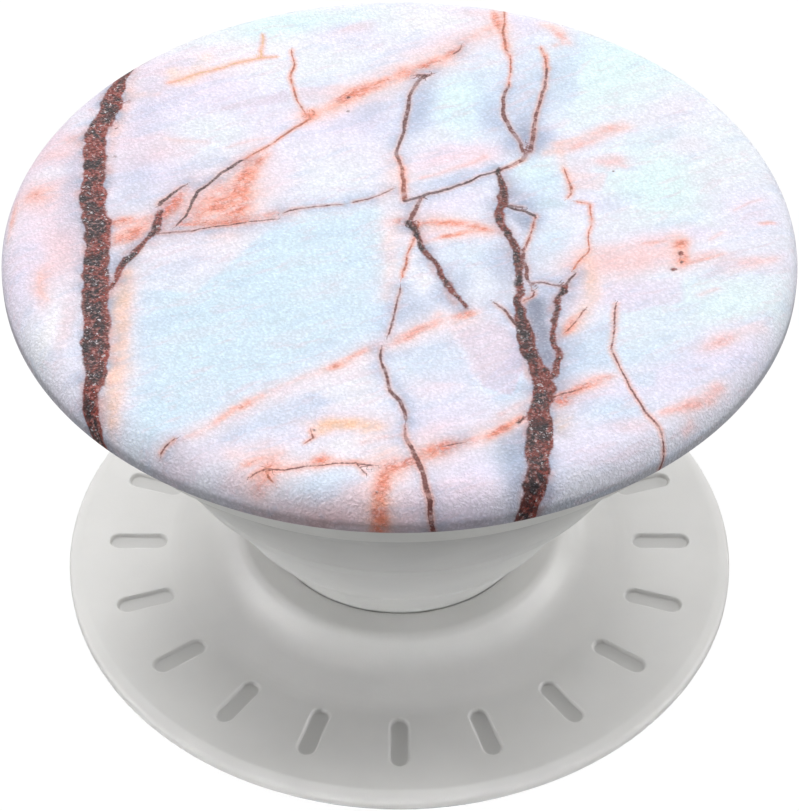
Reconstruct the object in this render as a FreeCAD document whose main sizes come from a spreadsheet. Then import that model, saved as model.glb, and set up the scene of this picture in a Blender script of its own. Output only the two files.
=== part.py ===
import FreeCAD, Part
import os
import math
import Sketcher
from FreeCAD import Vector, Placement, Rotation

# A pop-out grip for a handheld device: a round printed button on a two-stage
# collapsing bellows that swivels in a flared adhesive platform.
# Millimetres, +Z up, origin at the middle of the adhesive's lower face,
# drawn in its popped-out state.

doc = FreeCAD.newDocument("PhoneGrip")

# ---------------------------------------------------------------- dimensions
DIMS = [
    # adhesive
    ("gel_radius", 17.6), ("gel_top", 0.45),
    ("tape_radius", 17.75), ("tape_top", 0.8),
    # platform
    ("platform_radius", 18.25), ("platform_edge_top", 1.35), ("platform_edge_land", 18.0),
    ("platform_face_top", 1.58), ("flare_foot_radius", 12.3), ("flare_foot_top", 1.62),
    ("flare_mid_radius", 9.9), ("flare_mid_top", 2.25),
    ("hump_radius", 8.85), ("hump_top", 3.5),
    ("flare_fillet", 3.0), ("flare_mid_fillet", 2.0), ("hump_fillet", 0.8), ("edge_fillet", 0.12),
    ("lip_bore_radius", 7.23), ("lip_under", 2.3),
    ("race_radius", 9.0), ("plate_seat_radius", 9.8), ("plate_top", 1.5),
    # raised-finger grip dashes pressed into the platform
    ("dash_inner", 13.4), ("dash_outer", 15.5), ("dash_half_width", 0.5),
    ("dash_sketch_height", 2.0), ("dash_cut", 0.62), ("dash_count", 20),
    # neck
    ("neck_hollow_radius", 5.9), ("neck_insert_radius", 6.6), ("neck_radius", 7.15),
    ("flange_radius", 8.7), ("flange_under", 1.55), ("flange_top", 2.25),
    # bellows, outer surface, and its wall measured level
    ("web_wall", 0.5), ("ring_wall", 0.8),
    ("neck_ridge_radius", 9.3), ("neck_ridge_height", 6.9),
    ("ring_low_radius", 12.0), ("ring_low_height", 11.4),
    ("ring_high_radius", 12.6), ("ring_high_height", 12.4),
    ("bowl_rim_radius", 16.2), ("bowl_rim_height", 18.0),
    ("collar_radius", 17.15), ("collar_under", 20.3),
    # socket plate
    ("socket_radius", 16.5), ("socket_lip_inner", 16.1), ("socket_lip_under", 21.0),
    ("socket_deck_under", 22.65), ("socket_deck_top", 23.05),
    ("socket_boss_radius", 6.8), ("socket_boss_under", 21.5), ("socket_floor_top", 22.55),
    ("spring_recess_radius", 5.9),
    ("hub_hole_radius", 3.08), ("slot_half_length", 5.15), ("slot_half_width", 1.8),
    ("stop_peg_radius", 0.35), ("stop_peg_far", 4.11), ("stop_peg_near", 2.375),
    ("stop_peg_height", 0.55),
    # detent spring
    ("spring_inner", 5.22), ("spring_outer", 5.85), ("spring_top", 22.68), ("spring_sweep", 330),
    # bayonet hub
    ("hub_radius", 3.0), ("hub_under", 20.3), ("hub_flange_radius", 5.6), ("hub_flange_under", 22.72),
    ("lug_half_length", 4.9), ("lug_half_width", 1.6), ("lug_thickness", 1.1),
    # button
    ("back_under", 23.15), ("back_top", 23.5), ("back_radius", 17.9),
    ("skirt_inner_radius", 17.45), ("skirt_foot_radius", 17.72), ("skirt_foot", 19.8),
    ("skirt_top_radius", 19.25), ("skirt_top", 22.4),
    ("shell_radius", 19.75), ("shell_top", 24.28), ("shell_fillet", 1.23), ("shell_under_fillet", 0.3),
    ("film_radius", 19.87), ("film_top", 24.4), ("film_hem", 22.62), ("film_fillet", 1.35),
]
D = dict(DIMS)

sheet = doc.addObject("Spreadsheet::Sheet", "Dims")
for row, (alias, number) in enumerate(DIMS, start=1):
    sheet.set("A%d" % row, alias)
    sheet.set("B%d" % row, "%g" % number)
    sheet.setAlias("B%d" % row, alias)
doc.recompute()


def value(words):
    """The number of a sum of aliases, such as 'ring_low_radius - ring_wall'."""
    total, sign = 0.0, 1.0
    for word in words.split():
        if word == "+":
            sign = 1.0
        elif word == "-":
            sign = -1.0
        else:
            total += sign * (D[word] if word in D else float(word))
    return total


def bound(words):
    """The same sum as an expression on the sheet."""
    return " ".join("Dims." + w if w in D else w for w in words.split())


def plane(body, role):
    return [f for f in body.Origin.OriginFeatures if f.Role == role][0]


def new_body(label):
    body = doc.addObject("PartDesign::Body", label)
    body.Label = label
    body.Placement = Placement(Vector(0, 0, 0), Rotation())
    return body


def place_sketch(body, name, role, height=None):
    sketch = body.newObject("Sketcher::SketchObject", name)
    sketch.AttachmentSupport = [(plane(body, role), "")]
    sketch.MapMode = "FlatFace"
    if height is not None:
        sketch.AttachmentOffset = Placement(Vector(0, 0, value(height)), Rotation())
        sketch.setExpression("AttachmentOffset.Base.z", bound(height))
    return sketch


def dimension(sketch, constraint, words):
    index = sketch.addConstraint(constraint)
    sketch.setExpression("Constraints[%d]" % index, bound(words))


def outline(sketch, points):
    """A closed outline whose every corner is dimensioned from the axes."""
    xy = [(value(a), value(b)) for a, b in points]
    count = len(xy)
    for i in range(count):
        (x0, y0), (x1, y1) = xy[i], xy[(i + 1) % count]
        sketch.addGeometry(Part.LineSegment(Vector(x0, y0, 0), Vector(x1, y1, 0)), False)
    for i in range(count):
        sketch.addConstraint(Sketcher.Constraint("Coincident", i, 2, (i + 1) % count, 1))
    for i, (a, b) in enumerate(points):
        if a == "0":
            sketch.addConstraint(Sketcher.Constraint("PointOnObject", i, 1, -2))
        else:
            dimension(sketch, Sketcher.Constraint("DistanceX", -1, 1, i, 1, value(a)), a)
        dimension(sketch, Sketcher.Constraint("DistanceY", -1, 1, i, 1, value(b)), b)


def turned(body, name, points, sweep=None):
    """A turned solid about +Z from a half section in the XZ plane."""
    sketch = place_sketch(body, name + "_section", "XZ_Plane")
    outline(sketch, points)
    turn = body.newObject("PartDesign::Revolution", name + "_turn")
    turn.Profile = sketch
    turn.ReferenceAxis = (sketch, ["V_Axis"])
    turn.Angle = 360.0
    if sweep:
        turn.Angle = value(sweep)
        turn.setExpression("Angle", bound(sweep))
    sketch.Visibility = False
    body.Tip = turn
    doc.recompute()
    return turn


def rims(feature, radius, height):
    """The circular edges of that radius at that height."""
    found = []
    for i, edge in enumerate(feature.Shape.Edges, start=1):
        curve = edge.Curve
        if isinstance(curve, Part.Circle):
            if abs(curve.Radius - radius) < 1e-3 and abs(curve.Center.z - height) < 1e-3:
                found.append("Edge%d" % i)
    return found


def rounded(body, base, name, radius, places):
    edges = []
    for a, b in places:
        edges += rims(base, value(a), value(b))
    if not edges:
        raise RuntimeError("no edge for " + name)
    fillet = body.newObject("PartDesign::Fillet", name)
    fillet.Base = (base, edges)
    fillet.Radius = value(radius)
    fillet.setExpression("Radius", bound(radius))
    body.Tip = fillet
    doc.recompute()
    return fillet


def simple(label, points, sweep=None):
    body = new_body(label)
    turned(body, label, points, sweep)
    return body


# ---------------------------------------------------------------- base
# Washable gel layer that sticks to the device, and the tape that bonds it to the platform.
simple("gel_pad", [("0", "0.0"), ("gel_radius", "0.0"), ("gel_radius", "gel_top"), ("0", "gel_top")])
simple("bonding_tape", [("0", "gel_top"), ("tape_radius", "gel_top"), ("tape_radius", "tape_top"), ("0", "tape_top")])

# Flared platform: thin edge, level face, concave flare up to a rounded hump, a bore
# with an inner lip for the neck, and a seat underneath for the retaining plate.
platform = new_body("platform")
base = turned(platform, "platform", [
    ("plate_seat_radius", "tape_top"),
    ("platform_radius", "tape_top"),
    ("platform_radius", "platform_edge_top"),
    ("platform_edge_land", "platform_face_top"),
    ("flare_foot_radius", "flare_foot_top"),
    ("flare_mid_radius", "flare_mid_top"),
    ("hump_radius", "hump_top"),
    ("lip_bore_radius", "hump_top"),
    ("lip_bore_radius", "lip_under"),
    ("race_radius", "lip_under"),
    ("race_radius", "plate_top"),
    ("plate_seat_radius", "plate_top"),
])
base = rounded(platform, base, "hump_round", "hump_fillet", [("hump_radius", "hump_top")])
base = rounded(platform, base, "flare_mid_round", "flare_mid_fillet", [("flare_mid_radius", "flare_mid_top")])
base = rounded(platform, base, "flare_round", "flare_fillet", [("flare_foot_radius", "flare_foot_top")])
base = rounded(platform, base, "bore_round", "edge_fillet", [("lip_bore_radius", "hump_top")])
base = rounded(platform, base, "edge_round", "edge_fillet",
               [("platform_edge_land", "platform_face_top"), ("platform_radius", "platform_edge_top")])

# A plain ring of shallow radial dashes on the level face.
dash = place_sketch(platform, "dash_outline", "XY_Plane", "dash_sketch_height")
c0, c1, w = value("dash_inner"), value("dash_outer"), value("dash_half_width")
normal = Vector(0, 0, 1)
dash.addGeometry(Part.ArcOfCircle(Part.Circle(Vector(c0, 0, 0), normal, w), math.pi / 2, 1.5 * math.pi), False)
dash.addGeometry(Part.ArcOfCircle(Part.Circle(Vector(c1, 0, 0), normal, w), -math.pi / 2, math.pi / 2), False)
dash.addGeometry(Part.LineSegment(Vector(c0, -w, 0), Vector(c1, -w, 0)), False)
dash.addGeometry(Part.LineSegment(Vector(c1, w, 0), Vector(c0, w, 0)), False)
for a, pa, b, pb in ((0, 2, 2, 1), (2, 2, 1, 1), (1, 2, 3, 1), (3, 2, 0, 1)):
    dash.addConstraint(Sketcher.Constraint("Tangent", a, pa, b, pb))
dash.addConstraint(Sketcher.Constraint("Equal", 0, 1))
dash.addConstraint(Sketcher.Constraint("PointOnObject", 0, 3, -1))
dash.addConstraint(Sketcher.Constraint("PointOnObject", 1, 3, -1))
dimension(dash, Sketcher.Constraint("DistanceX", -1, 1, 0, 3, c0), "dash_inner")
dimension(dash, Sketcher.Constraint("DistanceX", -1, 1, 1, 3, c1), "dash_outer")
dimension(dash, Sketcher.Constraint("Radius", 0, w), "dash_half_width")
dash.Visibility = False
doc.recompute()
before = base.Shape.Volume
cut = platform.newObject("PartDesign::Pocket", "dash_cut")
cut.Profile = dash
cut.Length = value("dash_cut")
cut.setExpression("Length", bound("dash_cut"))
platform.Tip = cut
doc.recompute()
if cut.Shape.Volume > before - 0.1:
    cut.Reversed = True
    doc.recompute()
if cut.Shape.Volume > before - 0.1:
    raise RuntimeError("the dash cuts nothing")
ring = platform.newObject("PartDesign::PolarPattern", "dash_ring")
ring.Originals = [cut]
ring.Axis = (dash, ["N_Axis"])
ring.Angle = 360.0
ring.Occurrences = int(value("dash_count"))
ring.setExpression("Occurrences", bound("dash_count"))
platform.Tip = ring
doc.recompute()

# Plate welded under the platform: it closes the race that the neck's flange turns in.
simple("retaining_plate", [("0", "tape_top"), ("plate_seat_radius", "tape_top"),
                           ("plate_seat_radius", "plate_top"), ("0", "plate_top")])

# ---------------------------------------------------------------- swivelling neck
# Stiff insert with the flange that is held under the platform's lip.
simple("neck_insert", [
    ("neck_hollow_radius", "flange_under"),
    ("flange_radius", "flange_under"),
    ("flange_radius", "flange_top"),
    ("neck_insert_radius", "flange_top"),
    ("neck_insert_radius", "hump_top"),
    ("neck_hollow_radius", "hump_top"),
])
# Foot of the elastomer bellows, moulded round the insert.
simple("bellows_neck", [
    ("neck_insert_radius", "flange_top"),
    ("neck_radius", "flange_top"),
    ("neck_radius", "hump_top"),
    ("neck_insert_radius", "hump_top"),
])
# Lower fold of the bellows: a thin cone that buckles flat.
simple("lower_web", [
    ("neck_radius - web_wall", "hump_top"),
    ("neck_radius", "hump_top"),
    ("neck_ridge_radius", "neck_ridge_height"),
    ("ring_low_radius", "ring_low_height"),
    ("ring_low_radius - web_wall", "ring_low_height"),
    ("neck_ridge_radius - web_wall", "neck_ridge_height"),
])

# ---------------------------------------------------------------- middle of the bellows
# Thick hoop between the two folds.
simple("mid_ring", [
    ("ring_low_radius - ring_wall", "ring_low_height"),
    ("ring_low_radius", "ring_low_height"),
    ("ring_high_radius", "ring_high_height"),
    ("ring_high_radius - ring_wall", "ring_high_height"),
])
# Upper fold.
simple("upper_web", [
    ("ring_high_radius - web_wall", "ring_high_height"),
    ("ring_high_radius", "ring_high_height"),
    ("bowl_rim_radius", "bowl_rim_height"),
    ("collar_radius", "collar_under"),
    ("collar_radius - web_wall", "collar_under"),
    ("bowl_rim_radius - web_wall", "bowl_rim_height"),
])

# ---------------------------------------------------------------- head of the bellows
# Elastomer collar moulded round the socket plate.
simple("bellows_collar", [
    ("socket_radius", "collar_under"),
    ("collar_radius", "collar_under"),
    ("collar_radius", "socket_deck_top"),
    ("socket_radius", "socket_deck_top"),
])

# Socket plate: stiff deck with a lip, and a boss with the bayonet's keyhole.
socket = new_body("socket_plate")
deck = turned(socket, "socket", [
    ("0", "socket_boss_under"),
    ("socket_boss_radius", "socket_boss_under"),
    ("socket_boss_radius", "socket_deck_under"),
    ("socket_lip_inner", "socket_deck_under"),
    ("socket_lip_inner", "socket_lip_under"),
    ("socket_radius", "socket_lip_under"),
    ("socket_radius", "socket_deck_top"),
    ("spring_recess_radius", "socket_deck_top"),
    ("spring_recess_radius", "socket_floor_top"),
    ("0", "socket_floor_top"),
])
hole = place_sketch(socket, "hub_hole", "XY_Plane", "socket_deck_top")
hole.addGeometry(Part.Circle(Vector(0, 0, 0), normal, value("hub_hole_radius")), False)
hole.addConstraint(Sketcher.Constraint("Coincident", 0, 3, -1, 1))
dimension(hole, Sketcher.Constraint("Radius", 0, value("hub_hole_radius")), "hub_hole_radius")
hole.Visibility = False
doc.recompute()
volume = deck.Shape.Volume
bore = socket.newObject("PartDesign::Pocket", "hub_bore")
bore.Profile = hole
bore.Type = "ThroughAll"
bore.Midplane = True
socket.Tip = bore
doc.recompute()
if bore.Shape.Volume > volume - 1.0:
    raise RuntimeError("the hub bore cuts nothing")


def block(sketch, half_x, half_y):
    """A centred rectangle, dimensioned from the axes."""
    x, y = value(half_x), value(half_y)
    corners = [(-x, -y), (x, -y), (x, y), (-x, y)]
    for i in range(4):
        (x0, y0), (x1, y1) = corners[i], corners[(i + 1) % 4]
        sketch.addGeometry(Part.LineSegment(Vector(x0, y0, 0), Vector(x1, y1, 0)), False)
    for i in range(4):
        sketch.addConstraint(Sketcher.Constraint("Coincident", i, 2, (i + 1) % 4, 1))
    for i, kind in enumerate(("Horizontal", "Vertical", "Horizontal", "Vertical")):
        sketch.addConstraint(Sketcher.Constraint(kind, i))
    dimension(sketch, Sketcher.Constraint("DistanceX", 0, 1, -1, 1, x), half_x)
    dimension(sketch, Sketcher.Constraint("DistanceY", 0, 1, -1, 1, y), half_y)
    dimension(sketch, Sketcher.Constraint("DistanceX", -1, 1, 2, 1, x), half_x)
    dimension(sketch, Sketcher.Constraint("DistanceY", -1, 1, 2, 1, y), half_y)
    sketch.Visibility = False


slot = place_sketch(socket, "lug_slot", "XY_Plane", "socket_deck_top")
block(slot, "slot_half_width", "slot_half_length")
doc.recompute()
volume = bore.Shape.Volume
keyhole = socket.newObject("PartDesign::Pocket", "keyhole")
keyhole.Profile = slot
keyhole.Type = "ThroughAll"
keyhole.Midplane = True
socket.Tip = keyhole
doc.recompute()
if keyhole.Shape.Volume > volume - 1.0:
    raise RuntimeError("the keyhole cuts nothing")

# Pegs under the boss that stop the lugs just past 0 and 90 degrees.
pegs = place_sketch(socket, "stop_pegs", "XY_Plane", "socket_boss_under")
far, near, peg = value("stop_peg_far"), value("stop_peg_near"), value("stop_peg_radius")
pegs.addGeometry(Part.Circle(Vector(far, -near, 0), normal, peg), False)
pegs.addGeometry(Part.Circle(Vector(-near, far, 0), normal, peg), False)
dimension(pegs, Sketcher.Constraint("DistanceX", -1, 1, 0, 3, far), "stop_peg_far")
dimension(pegs, Sketcher.Constraint("DistanceY", 0, 3, -1, 1, near), "stop_peg_near")
dimension(pegs, Sketcher.Constraint("DistanceX", 1, 3, -1, 1, near), "stop_peg_near")
dimension(pegs, Sketcher.Constraint("DistanceY", -1, 1, 1, 3, far), "stop_peg_far")
dimension(pegs, Sketcher.Constraint("Radius", 0, peg), "stop_peg_radius")
dimension(pegs, Sketcher.Constraint("Radius", 1, peg), "stop_peg_radius")
pegs.Visibility = False
doc.recompute()
pad = socket.newObject("PartDesign::Pad", "stop_pad")
pad.Profile = pegs
pad.Length = value("stop_peg_height")
pad.setExpression("Length", bound("stop_peg_height"))
pad.Reversed = True
socket.Tip = pad
doc.recompute()
if pad.Shape.BoundBox.ZMin > value("socket_boss_under") - 0.1:
    pad.Reversed = False
    doc.recompute()
both = socket.newObject("PartDesign::PolarPattern", "stop_pair")
both.Originals = [pad]
both.Axis = (pegs, ["N_Axis"])
both.Angle = 360.0
both.Occurrences = 2
socket.Tip = both
doc.recompute()

# Split wave washer that takes up the play under the button's hub.
simple("lock_spring", [
    ("spring_inner", "socket_floor_top"),
    ("spring_outer", "socket_floor_top"),
    ("spring_outer", "spring_top"),
    ("spring_inner", "spring_top"),
], sweep="spring_sweep")

# ---------------------------------------------------------------- button
# Hub with two bayonet lugs.
hub = new_body("bayonet_hub")
stem = turned(hub, "hub", [
    ("0", "hub_under"),
    ("hub_radius", "hub_under"),
    ("hub_radius", "hub_flange_under"),
    ("hub_flange_radius", "hub_flange_under"),
    ("hub_flange_radius", "back_under"),
    ("0", "back_under"),
])
bar = place_sketch(hub, "lug_bar", "XY_Plane", "hub_under")
block(bar, "lug_half_length", "lug_half_width")
doc.recompute()
lugs = hub.newObject("PartDesign::Pad", "lugs")
lugs.Profile = bar
lugs.Length = value("lug_thickness")
lugs.setExpression("Length", bound("lug_thickness"))
hub.Tip = lugs
doc.recompute()
if lugs.Shape.BoundBox.ZMin < value("hub_under") - 0.1:
    lugs.Reversed = True
    doc.recompute()

# Back plate with the tapered skirt seen under the button's rim.
simple("back_plate", [
    ("0", "back_under"),
    ("skirt_inner_radius", "back_under"),
    ("skirt_inner_radius", "skirt_foot"),
    ("skirt_foot_radius", "skirt_foot"),
    ("skirt_top_radius", "skirt_top"),
    ("back_radius", "skirt_top"),
    ("back_radius", "back_top"),
    ("0", "back_top"),
])

# Button disc with a rounded rim.
shell = new_body("top_shell")
disc = turned(shell, "shell", [
    ("0", "back_top"),
    ("back_radius", "back_top"),
    ("back_radius", "skirt_top"),
    ("shell_radius", "skirt_top"),
    ("shell_radius", "shell_top"),
    ("0", "shell_top"),
])
disc = rounded(shell, disc, "shell_rim", "shell_fillet", [("shell_radius", "shell_top")])
disc = rounded(shell, disc, "shell_under_rim", "shell_under_fillet", [("shell_radius", "skirt_top")])

# Printed film wrapped over the disc and down its rim.
film = new_body("print_film")
skin = turned(film, "film", [
    ("0", "shell_top"),
    ("shell_radius", "shell_top"),
    ("shell_radius", "film_hem"),
    ("film_radius", "film_hem"),
    ("film_radius", "film_top"),
    ("0", "film_top"),
])
skin = rounded(film, skin, "film_inner_round", "shell_fillet", [("shell_radius", "shell_top")])
skin = rounded(film, skin, "film_outer_round", "film_fillet", [("film_radius", "film_top")])

# ---------------------------------------------------------------- checks and export
doc.recompute()
for thing in doc.Objects:
    if "Invalid" in thing.State or "Error" in thing.State:
        raise RuntimeError("%s failed: %s" % (thing.Name, thing.State))

bodies = [o for o in doc.Objects if o.TypeId == "PartDesign::Body"]
for body in bodies:
    if body.Shape.isNull() or not body.Shape.isValid() or len(body.Shape.Solids) != 1:
        raise RuntimeError(body.Label + " is not one valid solid")

os.makedirs("parts", exist_ok=True)
for body in bodies:
    body.Shape.exportStep("parts/%s.step" % body.Label)
    box = body.Shape.BoundBox
    print("%-16s %8.2f mm3  z %.2f to %.2f  r %.2f" % (body.Label, body.Shape.Volume, box.ZMin, box.ZMax, box.XMax))

# Pieces of different bodies must not overlap in the popped-out or the closed state.
groups = {
    "base": (0.0, ["gel_pad", "bonding_tape", "platform", "retaining_plate"]),
    "swivel": (0.0, ["neck_insert", "bellows_neck"]),
    "mid": (8.3, ["mid_ring"]),
    "head": (17.6, ["socket_plate", "bellows_collar", "lock_spring"]),
    "button": (17.6, ["bayonet_hub", "back_plate", "top_shell", "print_film"]),
}
shapes = {b.Label: b.Shape for b in bodies}
for closed in (False, True):
    names = sorted(groups)
    for i, first in enumerate(names):
        for second in names[i + 1:]:
            for p in groups[first][1]:
                for q in groups[second][1]:
                    a, b = shapes[p].copy(), shapes[q].copy()
                    if closed:
                        a.translate(Vector(0, 0, -groups[first][0]))
                        b.translate(Vector(0, 0, -groups[second][0]))
                    if not a.BoundBox.intersect(b.BoundBox):
                        continue
                    shared = a.common(b).Volume
                    if shared > 1e-4:
                        print("overlap", "closed" if closed else "open", p, q, round(shared, 4))
print("done", len(bodies))
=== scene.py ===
import math

import bpy
import numpy as np
from mathutils import Matrix, Vector, noise


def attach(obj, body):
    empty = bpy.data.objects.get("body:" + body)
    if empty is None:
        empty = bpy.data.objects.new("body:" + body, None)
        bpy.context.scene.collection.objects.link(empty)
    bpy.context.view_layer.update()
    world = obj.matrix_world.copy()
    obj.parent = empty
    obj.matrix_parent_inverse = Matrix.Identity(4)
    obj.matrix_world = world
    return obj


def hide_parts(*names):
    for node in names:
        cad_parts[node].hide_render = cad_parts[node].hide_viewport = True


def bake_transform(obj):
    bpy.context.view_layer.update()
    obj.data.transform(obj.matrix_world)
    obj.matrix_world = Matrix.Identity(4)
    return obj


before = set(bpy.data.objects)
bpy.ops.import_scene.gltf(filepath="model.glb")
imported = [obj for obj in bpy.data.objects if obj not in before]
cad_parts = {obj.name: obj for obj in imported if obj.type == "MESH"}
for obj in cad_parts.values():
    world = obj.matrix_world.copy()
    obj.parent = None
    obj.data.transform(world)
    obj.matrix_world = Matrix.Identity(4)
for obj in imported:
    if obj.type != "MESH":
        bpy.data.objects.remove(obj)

scene = bpy.context.scene
scene.view_settings.view_transform = "Standard"
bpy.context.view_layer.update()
MM = 0.001


# ------------------------------------------------------------------ camera
def make_camera():
    data = bpy.data.cameras.new("camera")
    data.lens = 124.56
    data.sensor_width = 36.0
    data.clip_start, data.clip_end = 0.005, 20.0
    cam = bpy.data.objects.new("camera", data)
    scene.collection.objects.link(cam)
    dist, el, pitch, zc = 147.9, math.radians(42.95), math.radians(43.21), 12.8
    cam.location = (0.0, -dist * math.cos(el) * MM, (zc + dist * math.sin(el)) * MM)
    cam.rotation_euler = (math.radians(90) - pitch, 0.0, 0.0)
    scene.camera = cam
    return cam


camera = make_camera()


# ------------------------------------------------------------------ colour helpers
def lin(c):
    """8-bit display colour to linear."""
    out = []
    for v in c:
        v = v / 255.0
        out.append(v / 12.92 if v <= 0.04045 else ((v + 0.055) / 1.055) ** 2.4)
    return out


def rgba(c):
    return (*lin(c), 1.0)


class Nodes:
    """A short way to write node trees."""

    def __init__(self, name):
        self.mat = bpy.data.materials.new(name)
        self.mat.use_nodes = True
        self.tree = self.mat.node_tree
        self.tree.nodes.clear()
        self.out = self.add("ShaderNodeOutputMaterial")
        self.bsdf = self.add("ShaderNodeBsdfPrincipled")
        self.link(self.bsdf.outputs[0], self.out.inputs[0])

    def add(self, kind, **values):
        node = self.tree.nodes.new(kind)
        for key, value in values.items():
            setattr(node, key, value)
        return node

    def link(self, a, b):
        self.tree.links.new(a, b)

    def put(self, socket, value):
        if isinstance(value, bpy.types.NodeSocket):
            self.link(value, socket)
        else:
            socket.default_value = value

    def math(self, op, a, b=0.0, c=0.0, clamp=False):
        node = self.add("ShaderNodeMath", operation=op, use_clamp=clamp)
        for i, v in enumerate((a, b, c)):
            if i < len(node.inputs):
                self.put(node.inputs[i], v)
        return node.outputs[0]

    def step(self, value, low, high):
        """Smooth 0 to 1 as value goes from low to high."""
        node = self.add("ShaderNodeMapRange", interpolation_type="SMOOTHSTEP")
        self.put(node.inputs["Value"], value)
        self.put(node.inputs["From Min"], low)
        self.put(node.inputs["From Max"], high)
        node.inputs["To Min"].default_value = 0.0
        node.inputs["To Max"].default_value = 1.0
        return node.outputs[0]

    def fit(self, value, low, high, to_low, to_high):
        node = self.add("ShaderNodeMapRange", clamp=True)
        self.put(node.inputs["Value"], value)
        for name, v in (("From Min", low), ("From Max", high), ("To Min", to_low), ("To Max", to_high)):
            self.put(node.inputs[name], v)
        return node.outputs[0]

    def mix(self, factor, a, b, blend="MIX"):
        node = self.add("ShaderNodeMix", data_type="RGBA", blend_type=blend)
        self.put(node.inputs["Factor"], factor)
        sockets = [s for s in node.inputs if s.type == "RGBA"]
        self.put(sockets[0], a)
        self.put(sockets[1], b)
        return [s for s in node.outputs if s.type == "RGBA"][0]

    def noise(self, vector, scale, detail=2.0, rough=0.5, distort=0.0):
        node = self.add("ShaderNodeTexNoise", noise_dimensions="3D")
        self.put(node.inputs["Vector"], vector)
        node.inputs["Scale"].default_value = scale
        node.inputs["Detail"].default_value = detail
        node.inputs["Roughness"].default_value = rough
        node.inputs["Distortion"].default_value = distort
        return node.outputs[0]

    def voronoi(self, vector, scale, feature="F1", rand=1.0):
        node = self.add("ShaderNodeTexVoronoi", feature=feature, voronoi_dimensions="3D")
        self.put(node.inputs["Vector"], vector)
        node.inputs["Scale"].default_value = scale
        node.inputs["Randomness"].default_value = rand
        return node.outputs["Distance"]

    def place(self):
        """Object-space millimetres."""
        coord = self.add("ShaderNodeTexCoord")
        scale = self.add("ShaderNodeVectorMath", operation="SCALE")
        self.link(coord.outputs["Object"], scale.inputs[0])
        scale.inputs["Scale"].default_value = 1000.0
        return scale.outputs[0]

    def bump(self, height, strength, distance_mm, normal=None):
        node = self.add("ShaderNodeBump")
        node.inputs["Strength"].default_value = strength
        node.inputs["Distance"].default_value = distance_mm * MM
        self.link(height, node.inputs["Height"])
        if normal is not None:
            self.link(normal, node.inputs["Normal"])
        return node.outputs[0]

    def set(self, **values):
        names = {"color": "Base Color", "rough": "Roughness", "metal": "Metallic", "spec": "Specular IOR Level",
                 "ior": "IOR", "coat": "Coat Weight", "coat_rough": "Coat Roughness", "sss": "Subsurface Weight",
                 "sss_scale": "Subsurface Scale", "normal": "Normal", "sheen": "Sheen Weight",
                 "sss_radius": "Subsurface Radius", "trans": "Transmission Weight"}
        for key, value in values.items():
            self.put(self.bsdf.inputs[names[key]], value)
        return self.mat


# ------------------------------------------------------------------ profile helpers
def rounded(points, closed=True, seg=6):
    """A list of (r, z, fillet radius) in mm to a smooth list of (r, z)."""
    n = len(points)
    out = []
    for i in range(n):
        p = np.array(points[i][:2], float)
        rad = points[i][2] if len(points[i]) > 2 else 0.0
        if rad <= 0 or (not closed and i in (0, n - 1)):
            out.append(tuple(p))
            continue
        a = np.array(points[i - 1][:2], float) - p
        b = np.array(points[(i + 1) % n][:2], float) - p
        la, lb = np.linalg.norm(a), np.linalg.norm(b)
        a, b = a / la, b / lb
        cosang = float(np.clip(a @ b, -1, 1))
        half = math.acos(cosang) / 2
        if half > math.pi / 2 - 0.01:
            out.append(tuple(p))
            continue
        cut = min(rad / math.tan(half), 0.49 * la, 0.49 * lb)
        r = cut * math.tan(half)
        centre = p + (a + b) / np.linalg.norm(a + b) * (r / math.sin(half))
        start, end = p + a * cut - centre, p + b * cut - centre
        a0, a1 = math.atan2(start[1], start[0]), math.atan2(end[1], end[0])
        d = (a1 - a0 + math.pi) % (2 * math.pi) - math.pi
        steps = max(2, int(math.ceil(abs(d) / (math.pi / 2) * seg)))
        for k in range(steps + 1):
            t = a0 + d * k / steps
            out.append((centre[0] + r * math.cos(t), centre[1] + r * math.sin(t)))
    return out


def split_long(points, longest, closed=True):
    out = []
    n = len(points)
    for i in range(n if closed else n - 1):
        a, b = np.array(points[i]), np.array(points[(i + 1) % n])
        k = max(1, int(math.ceil(np.linalg.norm(b - a) / longest)))
        for j in range(k):
            out.append(tuple(a + (b - a) * j / k))
    if not closed:
        out.append(tuple(points[-1]))
    return out


def finish_mesh(name, verts, faces, sharp=35.0):
    mesh = bpy.data.meshes.new(name)
    mesh.from_pydata([tuple(v) for v in verts], [], faces)
    mesh.validate()
    mesh.update()
    obj = bpy.data.objects.new(name, mesh)
    scene.collection.objects.link(obj)
    import bmesh
    bm = bmesh.new()
    bm.from_mesh(mesh)
    bmesh.ops.recalc_face_normals(bm, faces=bm.faces)
    bm.to_mesh(mesh)
    bm.free()
    mesh.shade_smooth()
    if sharp:
        mesh.set_sharp_from_angle(angle=math.radians(sharp))
    return obj


def lathe(name, profile, seg=256, sharp=35.0, z_of=None):
    """A closed half section, in mm, turned about +Z. Points at r 0 become poles."""
    verts, rings = [], []
    for r, z in profile:
        if r < 1e-6:
            rings.append([len(verts)])
            verts.append((0.0, 0.0, z * MM))
        else:
            start = len(verts)
            for k in range(seg):
                t = 2 * math.pi * k / seg
                verts.append((r * math.cos(t) * MM, r * math.sin(t) * MM, z * MM))
            rings.append(list(range(start, start + seg)))
    faces = []
    n = len(rings)
    for i in range(n):
        a, b = rings[i], rings[(i + 1) % n]
        if len(a) == 1 and len(b) == 1:
            continue
        for k in range(seg):
            k2 = (k + 1) % seg
            if len(a) == 1:
                faces.append((a[0], b[k], b[k2]))
            elif len(b) == 1:
                faces.append((a[k], b[0], a[k2]))
            else:
                faces.append((a[k], b[k], b[k2], a[k2]))
    return finish_mesh(name, verts, faces, sharp)


def paint(obj, material):
    obj.data.materials.clear()
    obj.data.materials.append(material)
    return obj


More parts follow.
